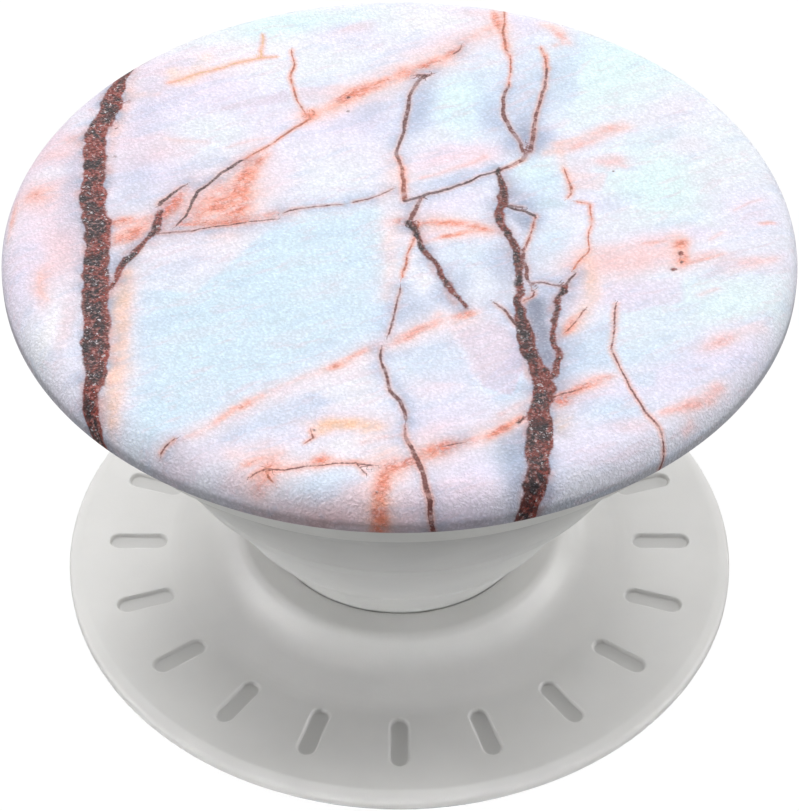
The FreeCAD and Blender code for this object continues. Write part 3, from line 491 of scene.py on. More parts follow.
# Warm blots: x, y, half length, half width, turn, strength, colour.
BLOTS = [
    (-9.2, 1.3, 1.5, .7, 28, .75, ORANGE), (-7.9, 2.6, 1.5, .42, 80, .7, ORANGE), (-7.3, 4.7, .8, .2, 62, .6, ORANGE), (-11.3, 1.5, .7, .34, 55, .6, ORANGE), (-13.4, -1.0, .9, .3, 28, .5, ORANGE), (-13.6, -.1, .6, .16, 20, .5, ORANGE),
    (-11.5, 1.3, 1.2, .35, 65, .9, ORANGE), (-8.0, 3.2, 1.8, .4, 78, .8, ORANGE), (-8.1, 1.3, 1.1, .55, 75, .9, ORANGE),
    (-9.4, 1.2, .9, .7, 20, .5, CORAL), (-8.8, 2.4, .9, .55, 45, .5, CORAL), (-13.3, -.9, .8, .4, 35, .85, ORANGE), (-13.9, .1, .5, .25, 20, .7, ORANGE),
    (-13.8, -1.4, .5, .15, 40, .7, CORAL), (-10.2, -.05, 1.0, .22, 8, .9, ORANGE), (-8.6, .05, 1.4, .28, 8, .7, ORANGE), (-6.6, .5, 1.0, .26, 20, .45, ORANGE),
    (-12.7, .1, .5, .3, 30, .6, CORAL), (-10.0, 2.4, .7, .3, 30, .4, ROSE),
    (.3, 12.4, .45, .45, 0, .8, ORANGE), (-2.4, 10.6, 1.2, .38, 38, .9, ORANGE), (-4.7, 8.8, .4, .35, 0, .6, ORANGE), (1.6, 13.3, .9, .3, 32, .75, ORANGE),
    (2.7, 14.2, .5, .2, 45, .6, ORANGE), (-1.0, 11.5, .9, .3, 36, .6, ORANGE), (5.3, 17.2, .8, .2, 95, .7, ORANGE), (5.6, 15.4, .6, .14, 95, .6, ORANGE),
    (8.6, 15.9, .7, .2, -60, .5, CORAL), (7.8, 13.6, .6, .12, 85, .4, ORANGE),
    (2.4, -.15, 1.3, .2, -3, .85, ORANGE), (4.0, -.45, .6, .14, -15, .7, ORANGE), (2.8, -1.0, .9, .13, 20, .7, ORANGE), (.2, .1, .3, .2, 0, .6, ORANGE),
    (3.2, -6.9, .5, .2, 15, .65, ORANGE), (.8, -8.2, 1.1, .22, 35, .55, CORAL), (-3.0, -10.6, .45, .2, 25, .5, ORANGE), (-2.0, -9.8, .7, .16, 32, .35, ORANGE),
    (-7.2, -13.3, .9, .24, 36, .5, ORANGE), (-8.3, -14.3, .5, .16, 40, .3, ORANGE), (-9.6, -15.3, .5, .1, 38, .2, CORAL),
    (-2.5, -14.6, 1.3, .28, -5, .6, (250, 184, 128)), (-3.4, -14.9, .3, .3, 0, .5, (250, 184, 128)), (-3.6, -17.0, .4, .2, 15, .95, ORANGE),
    (-5.9, -17.3, .6, .35, 60, .45, CORAL), (-6.2, -18.3, .6, .35, 60, .4, CORAL), (-6.7, -17.0, .5, .2, 30, .45, ORANGE),
    (-.8, -18.6, 1.2, .36, 85, .85, ORANGE), (-.3, -17.3, .5, .36, 50, .8, ORANGE), (.5, -17.0, .6, .3, 38, .85, ORANGE), (-.9, -20.2, 1.2, .34, 88, .8, ORANGE),
    (1.8, -16.2, .8, .32, 25, .95, ORANGE), (3.2, -15.8, .6, .18, 20, .45, CORAL), (4.8, -14.9, .9, .22, 38, .85, ORANGE), (5.5, -14.3, .4, .14, 38, .6, ORANGE),
    (7.5, -13.0, .45, .32, 30, .85, ORANGE), (8.6, -12.1, .9, .2, 32, .8, ORANGE), (9.5, -11.5, .6, .16, 22, .55, CORAL), (7.6, -14.6, .6, .12, 60, .35, SAND),
    (8.1, -7.8, .6, .18, 65, .65, ORANGE), (9.2, -4.0, 1.6, .26, 90, .3, PEACH), (10.0, -3.2, 3.2, 1.0, 10, .22, ROSE), (13.8, -1.6, .4, .32, 0, .7, ORANGE),
    (13.9, -2.7, .3, .6, 0, .6, ORANGE), (12.6, -1.5, .8, .12, 15, .35, CORAL), (14.9, -2.9, .9, .13, 20, .5, CORAL), (15.4, -8.8, .6, .25, 30, .28, CORAL),
    (13.5, -13.3, 1.2, .2, 25, .35, CORAL), (14.8, -12.2, .5, .2, 35, .4, ROSE), (17.2, -3.0, .6, .2, 20, .3, ROSE), (18.3, -.1, .4, .12, 0, .4, CORAL),
    (9.3, 6.3, 1.1, .22, 25, .2, CORAL), (10.8, 7.5, .7, .26, 30, .3, CORAL), (11.0, 4.8, .6, .4, 0, .15, ROSE), (8.6, 3.2, .3, .6, 0, .3, ROSE),
    (-18.2, 2.2, .5, .5, 0, .4, CORAL), (-19.4, 1.0, .9, .18, 90, .45, CORAL), (-16.5, 6.9, .5, .18, 10, .5, ROSE), (-17.9, 5.4, .9, .3, 20, .35, ROSE),
    (-13.5, -11.2, 2.2, .34, 90, .85, PEACH), (-13.5, -6.0, 2.3, .34, 90, .8, PEACH), (-17.3, -4.6, 1.1, .22, 90, .35, ROSE), (-11.6, 12.2, .6, .45, 0, .4, SAND),
    (-14.75, 6.0, 2.2, .16, 90, .45, (236, 190, 180)), (-14.4, 10.6, 1.2, .18, 80, .5, (240, 196, 186)),
]

# Wide dark veins: points (x, y, half width).
THICK = [
    [(-13.2, 17.8, .20), (-13.75, 15.8, .22), (-14.35, 13.8, .24), (-14.75, 12.2, .34), (-14.98, 11.0, .44), (-15.1, 10.0, .52), (-15.2, 9.0, .48), (-15.45, 8.0, .53), (-15.7, 7.0, .54), (-15.7, 6.0, .52),
     (-15.57, 5.0, .58), (-15.5, 4.0, .55), (-15.52, 3.0, .54), (-15.45, 2.0, .68), (-15.32, 1.0, .60), (-15.07, 0.0, .68), (-14.96, -1.0, .63), (-14.94, -2.0, .59),
     (-14.95, -3.0, .58), (-14.88, -4.0, .60), (-14.8, -5.0, .62), (-14.72, -6.0, .68), (-14.52, -7.0, .62), (-14.43, -8.0, .62), (-14.45, -9.0, .60), (-14.36, -10.0, .58),
     (-14.3, -11.0, .50), (-14.36, -12.0, .44), (-14.5, -13.0, .42), (-14.55, -14.0, .44), (-14.7, -15.4, .40)],
    [(5.0, 4.2, .14), (5.16, 3.2, .20), (5.26, 2.2, .24), (5.12, 1.2, .20), (4.93, 0.1, .21), (5.2, -.5, .20), (5.5, -1.1, .18), (5.78, -2.0, .21),
     (5.88, -3.2, .20), (5.85, -4.4, .18), (5.8, -5.2, .17), (5.72, -6.2, .23), (5.85, -7.2, .28), (5.98, -8.2, .34), (6.1, -9.0, .42), (6.26, -10.0, .43), (6.55, -11.0, .48),
     (6.8, -12.0, .46), (6.67, -13.0, .48), (6.45, -14.0, .50), (6.48, -15.0, .58), (6.38, -16.0, .60), (6.34, -17.0, .54), (6.22, -18.0, .54), (6.1, -19.2, .50), (6.0, -21.2, .48)],
    [(8.0, -4.9, .12), (7.7, -5.6, .14), (7.5, -6.8, .15), (7.38, -8.2, .13), (7.35, -9.0, .13), (7.5, -9.8, .16), (7.38, -10.8, .14), (7.1, -11.5, .12), (6.8, -12.2, .12)],
    [(-11.95, .9, .12), (-12.1, .1, .17), (-12.2, -.8, .15), (-12.7, -1.5, .13), (-12.85, -2.0, .18), (-13.3, -2.8, .17), (-13.75, -3.6, .17), (-13.9, -4.6, .13), (-14.2, -5.4, .1)],
    [(.5, .0, .12), (.85, -.8, .16), (1.2, -2.0, .15), (1.7, -3.1, .14), (2.05, -4.0, .16), (2.4, -4.9, .15), (2.8, -5.6, .13), (3.2, -6.4, .1)],
]

# Thin veins: points (x, y, half width), tone from 0 dark brown to 1 orange.
THIN = [
    ([(-12.1, 1.4, .1), (-11.7, 1.9, .1), (-11.3, 2.5, .09), (-10.9, 2.9, .05)], 0.15),
    ([(-11.1, -.2, .05), (-10.7, .6, .07), (-10.4, 1.7, .08), (-10.15, 2.5, .09), (-9.4, 3.4, .08), (-9.0, 4.0, .09), (-8.5, 4.6, .11), (-8.2, 4.9, .08), (-7.8, 5.1, .05)], 0.1),
    ([(-7.9, 5.1, .05), (-7.0, 5.9, .06), (-6.0, 7.0, .06), (-5.2, 8.0, .07), (-4.7, 8.5, .08)], 0.72),
    ([(-12.0, -.9, .05), (-10.8, -.75, .05), (-9.6, -.45, .04), (-8.4, -.15, .045), (-7.2, .05, .04), (-6.2, .3, .035)], 0.35),
    ([(-5.8, .8, .03), (-5.2, 1.05, .06), (-4.4, 1.25, .03), (-3.6, 1.35, .045), (-2.9, 1.45, .02)], 0.3),
    ([(-2.3, 1.65, .05), (-1.6, 1.85, .05), (-1.0, 2.2, .04), (-.4, 2.6, .03)], 0.35),
    ([(1.25, 12.3, .09), (.95, 11.7, .1), (.7, 11.0, .08), (.5, 10.4, .09), (.56, 9.8, .11), (.4, 9.0, .11), (.25, 8.0, .11), (.12, 7.2, .09), (-.05, 6.3, .09), (-.15, 5.7, .13), (-.05, 5.2, .12)], 0.28),
    ([(-.05, 5.2, .1), (.1, 4.4, .1), (.2, 3.4, .1), (.2, 2.5, .13), (.3, 1.8, .14)], 0.6),
    ([(.3, 1.75, .1), (1.2, 2.1, .1), (2.3, 2.6, .09), (3.4, 3.2, .08), (4.0, 3.65, .06), (5.0, 4.1, .08)], 0.12),
    ([(5.0, 4.1, .08), (5.7, 4.5, .1), (6.3, 5.1, .12), (6.55, 5.6, .13)], 0.5),
    ([(1.1, 1.9, .08), (.85, 1.2, .13), (.65, .5, .12), (.5, .0, .11)], 0.4),
    ([(6.7, 5.7, .13), (6.85, 6.6, .13), (7.0, 7.6, .11), (7.08, 8.6, .1), (7.3, 9.8, .1), (7.55, 10.8, .08), (7.75, 11.9, .07), (7.85, 12.9, .06)], 0.42),
    ([(7.85, 12.9, .05), (7.8, 13.6, .06), (7.72, 14.2, .07), (7.6, 14.8, .05)], 0.75),
    ([(6.35, 5.7, .12), (6.2, 6.4, .11), (5.85, 7.4, .13), (5.55, 8.4, .14), (5.45, 9.2, .13), (5.42, 10.0, .11), (5.6, 10.7, .09), (5.75, 11.4, .06)], 0.36),
    ([(5.75, 11.4, .04), (5.92, 12.6, .04), (5.92, 13.9, .05), (5.7, 14.6, .07), (5.68, 15.4, .08), (5.6, 16.2, .07), (5.65, 16.9, .05), (5.8, 18.6, .05), (5.9, 21.2, .04)], 0.8),
    ([(5.25, 1.45, .09), (5.8, 1.1, .1), (6.3, .9, .09), (6.8, .45, .07)], 0.1),
    ([(6.8, .45, .05), (6.65, -.4, .05), (6.4, -1.3, .06), (6.15, -2.1, .06)], 0.6),
    ([(6.1, -2.1, .09), (6.12, -3.2, .1), (6.25, -4.1, .1), (6.4, -4.7, .06), (6.45, -5.4, .03)], 0.4),
    ([(6.5, -4.65, .05), (7.1, -4.6, .06), (7.7, -4.8, .06), (7.95, -4.95, .08)], 0.25),
    ([(8.6, -3.9, .04), (8.3, -4.4, .07), (8.05, -4.8, .1)], 0.2),
    ([(6.0, -6.0, .04), (6.4, -5.6, .05), (6.6, -5.2, .04)], 0.5),
    ([(4.6, -6.1, .05), (5.05, -6.6, .08), (5.35, -7.2, .08), (5.6, -7.7, .08)], 0.3),
    ([(.95, 0.0, .04), (.65, -1.5, .05), (.35, -2.8, .05), (.15, -4.2, .05)], 0.85),
    ([(.05, -5.0, .05), (-.12, -6.2, .06), (-.35, -7.4, .06), (-.55, -8.4, .05)], 0.35),
    ([(-.9, -9.4, .05), (-.88, -10.2, .07), (-.62, -11.4, .08), (-.42, -12.3, .09), (0.0, -13.0, .11), (.22, -13.8, .1), (.3, -14.3, .07)], 0.3),
    ([(.3, -14.7, .05), (.35, -15.4, .09), (.6, -16.4, .12), (.9, -17.3, .14), (1.15, -18.2, .13), (1.35, -19.3, .14), (1.55, -21.2, .13)], 0.42),
    ([(10.5, -6.2, .03), (10.3, -7.5, .04), (10.12, -8.6, .05), (10.05, -9.4, .06), (10.3, -10.6, .04), (10.7, -11.8, .05), (11.1, -12.9, .05), (11.4, -13.9, .06), (12.0, -14.8, .05), (12.3, -15.7, .05), (12.7, -16.8, .05)], 0.5),
    ([(8.45, 4.2, .03), (8.55, 3.5, .05), (8.68, 2.9, .08), (8.7, 2.4, .05), (8.5, 2.0, .03)], 0.65),
    ([(9.0, 1.6, .04), (9.6, 1.4, .05), (9.58, .4, .03), (9.4, -1.2, .03), (9.3, -2.2, .03), (8.8, -3.0, .04), (8.5, -3.6, .04)], 0.9),
    ([(-5.75, 14.5, .03), (-5.65, 13.2, .05), (-5.8, 12.0, .06), (-5.5, 10.7, .06), (-5.3, 9.9, .05), (-5.05, 9.2, .03), (-4.8, 8.8, .03)], 0.72),
    ([(-4.6, 9.2, .03), (-4.35, 8.9, .04), (-4.75, 8.4, .03)], 0.72),
    ([(-12.2, 11.6, .04), (-11.0, 12.2, .05), (-9.4, 13.0, .04), (-8.2, 13.5, .04), (-7.4, 13.8, .05), (-6.6, 13.95, .04)], 1.0),
    ([(-7.35, 15.9, .04), (-7.4, 14.8, .05), (-7.4, 13.8, .04)], 1.0),
    ([(3.3, 14.9, .03), (3.2, 14.5, .06), (2.9, 14.2, .04)], 0.45),
    ([(1.3, 12.1, .04), (1.7, 12.4, .05), (.9, 12.25, .06)], 0.3),
    ([(-6.7, -17.9, .02), (-6.0, -17.5, .05), (-5.2, -17.6, .04), (-4.2, -17.4, .03), (-2.2, -17.1, .03), (-1.2, -17.3, .05)], 0.5),
    ([(-6.0, -17.4, .05), (-5.95, -18.0, .05), (-5.7, -18.3, .03)], 0.78),
    ([(-2.0, -17.1, .03), (-1.6, -17.8, .03)], 0.5),
    ([(-10.95, -16.25, .03), (-10.7, -15.9, .04), (-10.3, -15.6, .03)], 0.45),
    ([(-4.1, -15.0, .02), (-3.95, -15.5, .04), (-4.3, -15.8, .02)], 0.6),
    ([(2.2, -15.95, .03), (2.9, -15.75, .03)], 0.3),
    ([(8.0, -8.2, .03), (8.5, -7.4, .03), (8.8, -6.7, .03)], 0.6),
    ([(5.6, 1.4, .05), (6.2, 1.25, .03)], 0.2),
    ([(7.0, -12.9, .04), (7.5, -12.6, .05), (8.3, -12.2, .03)], 0.45),
]

SPOTS = [(13.8, -2.35, .12), (13.82, -3.0, .1), (13.42, -3.6, .13), (5.52, -14.35, .1), (5.72, -14.2, .08), (8.9, -6.6, .07), (8.95, -6.4, .05),
         (-2.68, 10.32, .08), (-2.7, 9.1, .07), (-14.2, 9.95, .09), (-14.62, 5.3, .06), (-14.65, 7.7, .05), (-7.9, 4.1, .07), (5.4, -14.5, .06),
         (-3.95, -14.95, .06), (10.9, 4.1, .05), (-1.0, -18.9, .06), (6.0, -.9, .04)]


def warped(px, py, seed, scale, amount):
    """Moves points by smooth noise."""
    ox, oy = np.empty(len(px)), np.empty(len(px))
    for i in range(len(px)):
        v = noise.noise_vector(Vector((px[i] / scale, py[i] / scale, seed)))
        ox[i], oy[i] = v[0], v[1]
    return px + ox * amount, py + oy * amount


def field(px, py, seed, scale):
    return np.array([noise.noise(Vector((px[i] / scale, py[i] / scale, seed))) for i in range(len(px))])


def stone(px, py):
    """Colour of the stone and the vein fields at print coordinates in mm."""
    ax, ay = warped(px, py, 3.1, 2.2, 0.35)
    ax, ay = warped(ax, ay, 8.7, 0.8, 0.14)
    bx, by = warped(px, py, 5.3, 1.1, 0.10)
    bx, by = warped(bx, by, 1.9, 0.42, 0.05)
    col = np.tile(np.array((232, 238, 252), float), (len(px), 1))

    def lay(weight, colour):
        w = np.clip(weight, 0, 1)[:, None]
        col[:] = col * (1 - w) + np.array(colour, float) * w

    for x, y, rx, ry, turn, colour, strength in ZONES:
        c, s = math.cos(math.radians(turn)), math.sin(math.radians(turn))
        u = ((ax - x) * c + (ay - y) * s) / rx
        v = (-(ax - x) * s + (ay - y) * c) / ry
        lay(strength * np.exp(-(u * u + v * v) ** 1.3 * 0.8), colour)
    for corners, colour, strength, soft in FACETS:
        d = inside(bx, by, corners)
        lay(strength * smooth01(0.5 - d / (2 * soft)), colour)
    mottle = field(px, py, 21.0, 0.9)
    grainy = field(px, py, 33.0, 0.35)
    warm = np.zeros(len(px))
    cx_, cy_ = ax * 0.4 + bx * 0.6, ay * 0.4 + by * 0.6
    for line, colour, strength, broken in STREAKS:
        d, _, hw = along(cx_, cy_, line)
        lay(0.42 * strength * np.exp(-(d / (hw * 1.7 + 0.22)) ** 2), (251, 219, 216))
    for line, colour, strength, broken in STREAKS:
        d, _, hw = along(cx_, cy_, line)
        hot = colour[0] - colour[2] > 80
        w = strength * np.exp(-(d / np.maximum(hw * 1.15, 0.05)) ** 2.4)
        w *= 1 - broken * 0.85 * smooth01(0.5 + 1.5 * mottle + 1.0 * grainy)
        lay(w * (0.22 if hot else 0.6), colour)
        if hot:
            warm = np.maximum(warm, 0.28 * strength * np.exp(-(d / (hw * 0.9)) ** 2))
    for x, y, rx, ry, turn, strength, colour in BLOTS:
        c, s = math.cos(math.radians(turn)), math.sin(math.radians(turn))
        u = ((cx_ - x) * c + (cy_ - y) * s) / rx
        v = (-(cx_ - x) * s + (cy_ - y) * c) / ry
        r2 = u * u + v * v
        lay(0.5 * strength * np.exp(-r2 * 0.28), (251, 216, 212))
        core = np.exp(-(r2 * 0.75) ** 1.25)
        lay(0.92 * strength * core * (1 - 0.55 * smooth01(0.45 + 1.3 * mottle + 1.1 * grainy)), colour)
        if colour is ORANGE or colour is CORAL:
            warm = np.maximum(warm, strength * np.exp(-r2 * 0.9))
    # grey-blue shade beside the veins
    for line in THICK:
        d, sd, hw = along(ax, ay, line)
        lay(0.68 * np.exp(-((d - hw) / 0.42).clip(0) ** 1.3) * np.clip(0.72 - 1.5 * mottle, 0, 1.2), (160, 166, 186))
        lay(0.45 * smooth01(0.5 + 1.6 * mottle) * np.exp(-((d - hw) / 0.16).clip(0) ** 1.5), (186, 132, 128))
    for line, tone in THIN:
        if tone < 0.5:
            d, sd, hw = along(ax, ay, line)
            lay(0.49 * np.exp(-(d / 0.5) ** 1.5) * (1 - 0.8 * mottle), SHADE)
        d, sd, hw = along(bx, by, line)
        lay((0.45 + 0.25 * (tone > 0.4)) * np.exp(-((d - 0.8 * hw) / 0.12).clip(0) ** 1.4), (238, 168, 148))

    edge = np.full(len(px), 9.0)
    side = np.zeros(len(px))
    tx, ty = warped(bx, by, 12.4, 0.8, 0.16)
    tx, ty = warped(tx, ty, 14.9, 0.3, 0.07)
    for k, line in enumerate(THICK):
        d, sd, hw = along(tx, ty, line)
        e = d - hw
        near = e < edge
        edge = np.where(near, e, edge)
        side = np.where(near, sd / np.maximum(hw, .05), side)
    thin = np.full(len(px), 9.0)
    tsd, thw, ttone = np.full(len(px), 9.0), np.full(len(px), .05), np.zeros(len(px))
    for line, tone in THIN:
        d, sd, hw = along(bx, by, line)
        near = (d - hw) < thin
        thin = np.where(near, d - hw, thin)
        tsd = np.where(near, sd, tsd)
        thw = np.where(near, hw, thw)
        ttone = np.where(near, tone, ttone)
    for x, y, r in SPOTS:
        d = np.hypot(bx - x, by - y) - r
        edge = np.minimum(edge, d)
    return col, edge, side, tsd, thin + thw, thw, ttone, warm


FLAT_R, RIM_R, TOP_Z, HEM_Z, OUT_R, IN_R, IN_TOP = 18.52, 1.35, 24.4, 22.62, 19.87, 19.75, 24.28


def make_film(n=264):
    """The printed film: a fine outer face, a hem and a plain inner face."""
    # flat face: a square grid mapped to the disc
    g = np.linspace(-1, 1, n + 1)
    a, b = np.meshgrid(g, g, indexing="ij")
    a, b = a.ravel(), b.ravel()
    with np.errstate(divide="ignore", invalid="ignore"):
        wide = np.abs(a) > np.abs(b)
        r = np.where(wide, a, b)
        phi = np.where(wide, (math.pi / 4) * np.where(a == 0, 0, b / np.where(a == 0, 1, a)),
                       math.pi / 2 - (math.pi / 4) * np.where(b == 0, 0, a / np.where(b == 0, 1, b)))
    x, y = r * np.cos(phi) * FLAT_R, r * np.sin(phi) * FLAT_R
    verts = [(x[i] * MM, y[i] * MM, TOP_Z * MM) for i in range(len(x))]
    pxy = [(x[i], y[i]) for i in range(len(x))]
    at = lambda i, j: i * (n + 1) + j
    faces = [(at(i, j), at(i + 1, j), at(i + 1, j + 1), at(i, j + 1)) for i in range(n) for j in range(n)]
    loop = [at(i, 0) for i in range(n)] + [at(n, j) for j in range(n)] + [at(i, n) for i in range(n, 0, -1)] + [at(0, j) for j in range(n, 0, -1)]
    angles = [math.atan2(y[k], x[k]) for k in loop]
    # rim
    profile = []
    steps = 14
    for k in range(1, steps + 1):
        t = math.pi / 2 * k / steps
        profile.append((FLAT_R + RIM_R * math.sin(t), TOP_Z - RIM_R * (1 - math.cos(t)), FLAT_R + RIM_R * t))
    far = FLAT_R + RIM_R * math.pi / 2
    for z in (22.9, 22.76, HEM_Z + 0.05):
        profile.append((OUT_R, z, far + (TOP_Z - RIM_R - z)))
    profile.append((OUT_R - 0.015, HEM_Z + 0.015, far + 0.42))
    profile.append((OUT_R - 0.05, HEM_Z, far + 0.45))
    profile.append((IN_R, HEM_Z, far + 0.55))
    rin = 1.23
    for k in range(6, -1, -1):
        t = math.pi / 2 * k / 6
        profile.append((IN_R - rin + rin * math.sin(t), IN_TOP - rin * (1 - math.cos(t)), far))
    last = loop
    for r_, z_, u_ in profile:
        start = len(verts)
        for t in angles:
            verts.append((r_ * math.cos(t) * MM, r_ * math.sin(t) * MM, z_ * MM))
            pxy.append((u_ * math.cos(t), u_ * math.sin(t)))
        ring = list(range(start, start + len(loop)))
        m = len(loop)
        for k in range(m):
            k2 = (k + 1) % m
            faces.append((last[k], last[k2], ring[k2], ring[k]))
        last = ring
    faces.append(tuple(last))
    obj = finish_mesh("marble_film", verts, faces, sharp=60.0)
    p = np.array(pxy)
    col, edge, side, tsd, tud, thw, ttone, warm = stone(p[:, 0], p[:, 1])
    mesh = obj.data
    c = np.clip(col / 255.0, 0, 1)
    c = np.where(c <= 0.04045, c / 12.92, ((c + 0.055) / 1.055) ** 2.4)
    c = np.clip(c * (1.082, 1.040, 1.052), 0, 0.985)
    # Painted shade: the film's colour is darkened by up to 40% where it rolls down past the rim's lower edge, over the
    # side band, hem and inner face.
    reach = np.hypot(p[:, 0], p[:, 1])
    c *= (1 - 0.40 * smooth01((reach - 20.32) / 0.34))[:, None]
    base = mesh.attributes.new("stone", "FLOAT_COLOR", "POINT")
    base.data.foreach_set("color", np.hstack([c, np.ones((len(c), 1))]).astype(np.float32).ravel())
    for name, cols in (("thick", (edge, side, warm)), ("thin", (tsd, tud, thw))):
        att = mesh.attributes.new(name, "FLOAT_VECTOR", "POINT")
        att.data.foreach_set("vector", np.stack(cols, 1).astype(np.float32).ravel())
    att = mesh.attributes.new("tone", "FLOAT", "POINT")
    att.data.foreach_set("value", ttone.astype(np.float32))
    return obj


def marble_material():
    t = Nodes("marble_print")
    p = t.place()

    def attribute(name):
        return t.add("ShaderNodeAttribute", attribute_name=name)

    # The 'stone' attribute holds the print's colour plus the painted shade along the rim's lower edge.
    stone_col_with_rim_shade = attribute("stone").outputs["Color"]
    thick = t.add("ShaderNodeSeparateXYZ")
    t.link(attribute("thick").outputs["Vector"], thick.inputs[0])
    thin = t.add("ShaderNodeSeparateXYZ")
    t.link(attribute("thin").outputs["Vector"], thin.inputs[0])
    tone = attribute("tone").outputs["Fac"]

    fine = t.noise(p, 5.5, 3.0, 0.6)
    tiny = t.noise(p, 13.0, 2.0, 0.6)
    jag = t.math("ADD", t.math("MULTIPLY", t.math("SUBTRACT", fine, 0.5), 0.24),
                 t.math("MULTIPLY", t.math("SUBTRACT", tiny, 0.5), 0.16))
    warmth = thick.outputs[2]

    # long pale veils running up to the right, then clouds and fine mottling
    turn = t.add("ShaderNodeVectorRotate", rotation_type="Z_AXIS")
    t.link(p, turn.inputs["Vector"])
    turn.inputs["Angle"].default_value = math.radians(-27)
    squash = t.add("ShaderNodeVectorMath", operation="MULTIPLY")
    t.link(turn.outputs[0], squash.inputs[0])
    squash.inputs[1].default_value = (0.28, 1.0, 1.0)
    veil = t.noise(squash.outputs[0], 0.85, 4.0, 0.62, 0.35)
    blush = t.noise(squash.outputs[0], 1.5, 4.0, 0.66, 0.5)
    col = t.mix(t.fit(veil, 0.52, 0.62, 0.0, 0.28), stone_col_with_rim_shade, rgba((228, 227, 240)))
    col = t.mix(t.fit(veil, 0.46, 0.36, 0.0, 0.22), col, rgba((186, 206, 234)))
    col = t.mix(t.fit(blush, 0.54, 0.66, 0.0, 0.26), col, rgba((236, 208, 220)))
    shade = t.fit(t.noise(p, 1.1, 5.0, 0.65, 0.4), 0.32, 0.68, 0.95, 1.04)
    shade = t.math("MULTIPLY", shade, t.fit(fine, 0.32, 0.68, 0.965, 1.03))
    grey = t.add("ShaderNodeCombineColor")
    for k in range(3):
        t.link(shade, grey.inputs[k])
    col = t.mix(1.0, col, grey.outputs[0], "MULTIPLY")

    # warm stains: broken orange patches and hair-thin cracks inside them
    blot = t.noise(p, 2.1, 6.0, 0.72, 0.5)
    patch = t.math("MULTIPLY", warmth, t.fit(blot, 0.41, 0.58, 0.0, 0.95))
    col = t.mix(patch, col, rgba((238, 124, 90)))
    crack = t.math("ABSOLUTE", t.math("SUBTRACT", t.noise(squash.outputs[0], 2.0, 5.0, 0.62, 0.7), 0.5))
    crack = t.math("MULTIPLY", t.step(crack, 0.026, 0.006), t.fit(warmth, 0.12, 0.5, 0.0, 0.6))
    col = t.mix(crack, col, rgba((196, 100, 74)))

    # thin veins
    near = t.math("LESS_THAN", thin.outputs[1], 0.34)
    body = t.math("SUBTRACT", t.math("ABSOLUTE", thin.outputs[0]), t.math("MULTIPLY", thin.outputs[2], 0.86))
    body = t.math("ADD", body, t.math("MULTIPLY", jag, 0.42))
    mask = t.math("MULTIPLY", t.step(body, 0.045, -0.03), near)
    gap = t.fit(t.noise(p, 1.9, 3.0, 0.65), 0.38, 0.50, 0.25, 1.0)
    gap = t.math("MAXIMUM", gap, t.math("SUBTRACT", 0.95, tone))
    mask = t.math("MULTIPLY", mask, gap)
    dark = t.step(t.noise(p, 2.4, 3.0, 0.65), 0.46, 0.56)
    c1 = t.mix(t.step(tone, 0.05, 0.5), rgba((66, 42, 46)), rgba((122, 62, 56)))
    c1 = t.mix(t.math("MULTIPLY", dark, 0.5), c1, rgba((80, 42, 42)))
    c2 = t.mix(t.step(tone, 0.5, 0.75), c1, rgba((206, 116, 86)))
    c2 = t.mix(t.math("MULTIPLY", t.math("MULTIPLY", dark, t.step(tone, 0.45, 0.6)), 0.55), c2, rgba((140, 78, 62)))
    c2 = t.mix(t.step(tone, 0.93, 0.99), c2, rgba((236, 192, 150)))
    c2 = t.mix(t.fit(fine, 0.54, 0.72, 0.0, 0.5), c2, rgba((198, 140, 128)))
    col = t.mix(t.math("MULTIPLY", mask, 0.95), col, c2)

    # wide veins: brown-black core, redder on one side, mottled, with pale crystals
    edge = t.math("ADD", thick.outputs[0], t.math("MULTIPLY", jag, 0.6))
    mask = t.step(edge, 0.085, -0.055)
    depth = t.step(edge, 0.0, -0.26)
    mott = t.noise(p, 0.95, 4.0, 0.68, 0.5)
    redness = t.math("ADD", t.fit(mott, 0.44, 0.56, 0.0, 0.9), t.fit(thick.outputs[1], 0.3, 0.9, 0.0, 0.7))
    redness = t.math("SUBTRACT", redness, t.math("MULTIPLY", depth, 0.12), clamp=True)
    core = t.mix(redness, rgba((60, 46, 50)), rgba((158, 66, 55)))
    pocket = t.fit(t.noise(p, 1.45, 3.0, 0.6), 0.49, 0.40, 0.0, 0.7)
    sand = t.noise(p, 5.2, 1.5, 0.6)
    core = t.mix(t.fit(sand, 0.54, 0.65, 0.0, 0.7), core, rgba((190, 142, 138)))
    core = t.mix(t.fit(sand, 0.47, 0.35, 0.0, 0.8), core, rgba((28, 18, 22)))
    core = t.mix(pocket, core, rgba((34, 26, 32)))
    core = t.mix(t.fit(fine, 0.42, 0.30, 0.0, 0.45), core, rgba((36, 28, 34)))
    glint = t.step(t.noise(p, 4.9, 2.0, 0.55), 0.645, 0.69)
    core = t.mix(t.math("MULTIPLY", glint, 0.9), core, rgba((214, 208, 212)))
    patchy = t.fit(t.noise(p, 0.9, 3.0, 0.6), 0.44, 0.58, 0.0, 0.75)
    rim = t.mix(t.math("MULTIPLY", patchy, 0.75), core, rgba((146, 74, 62)))
    core = t.mix(depth, rim, core)
    where = t.add("ShaderNodeSeparateXYZ")
    t.link(p, where.inputs[0])
    core = t.mix(t.fit(where.outputs[0], -6.0, 4.0, 0.04, 0.24), core, rgba((20, 10, 12)))
    col = t.mix(mask, col, core)
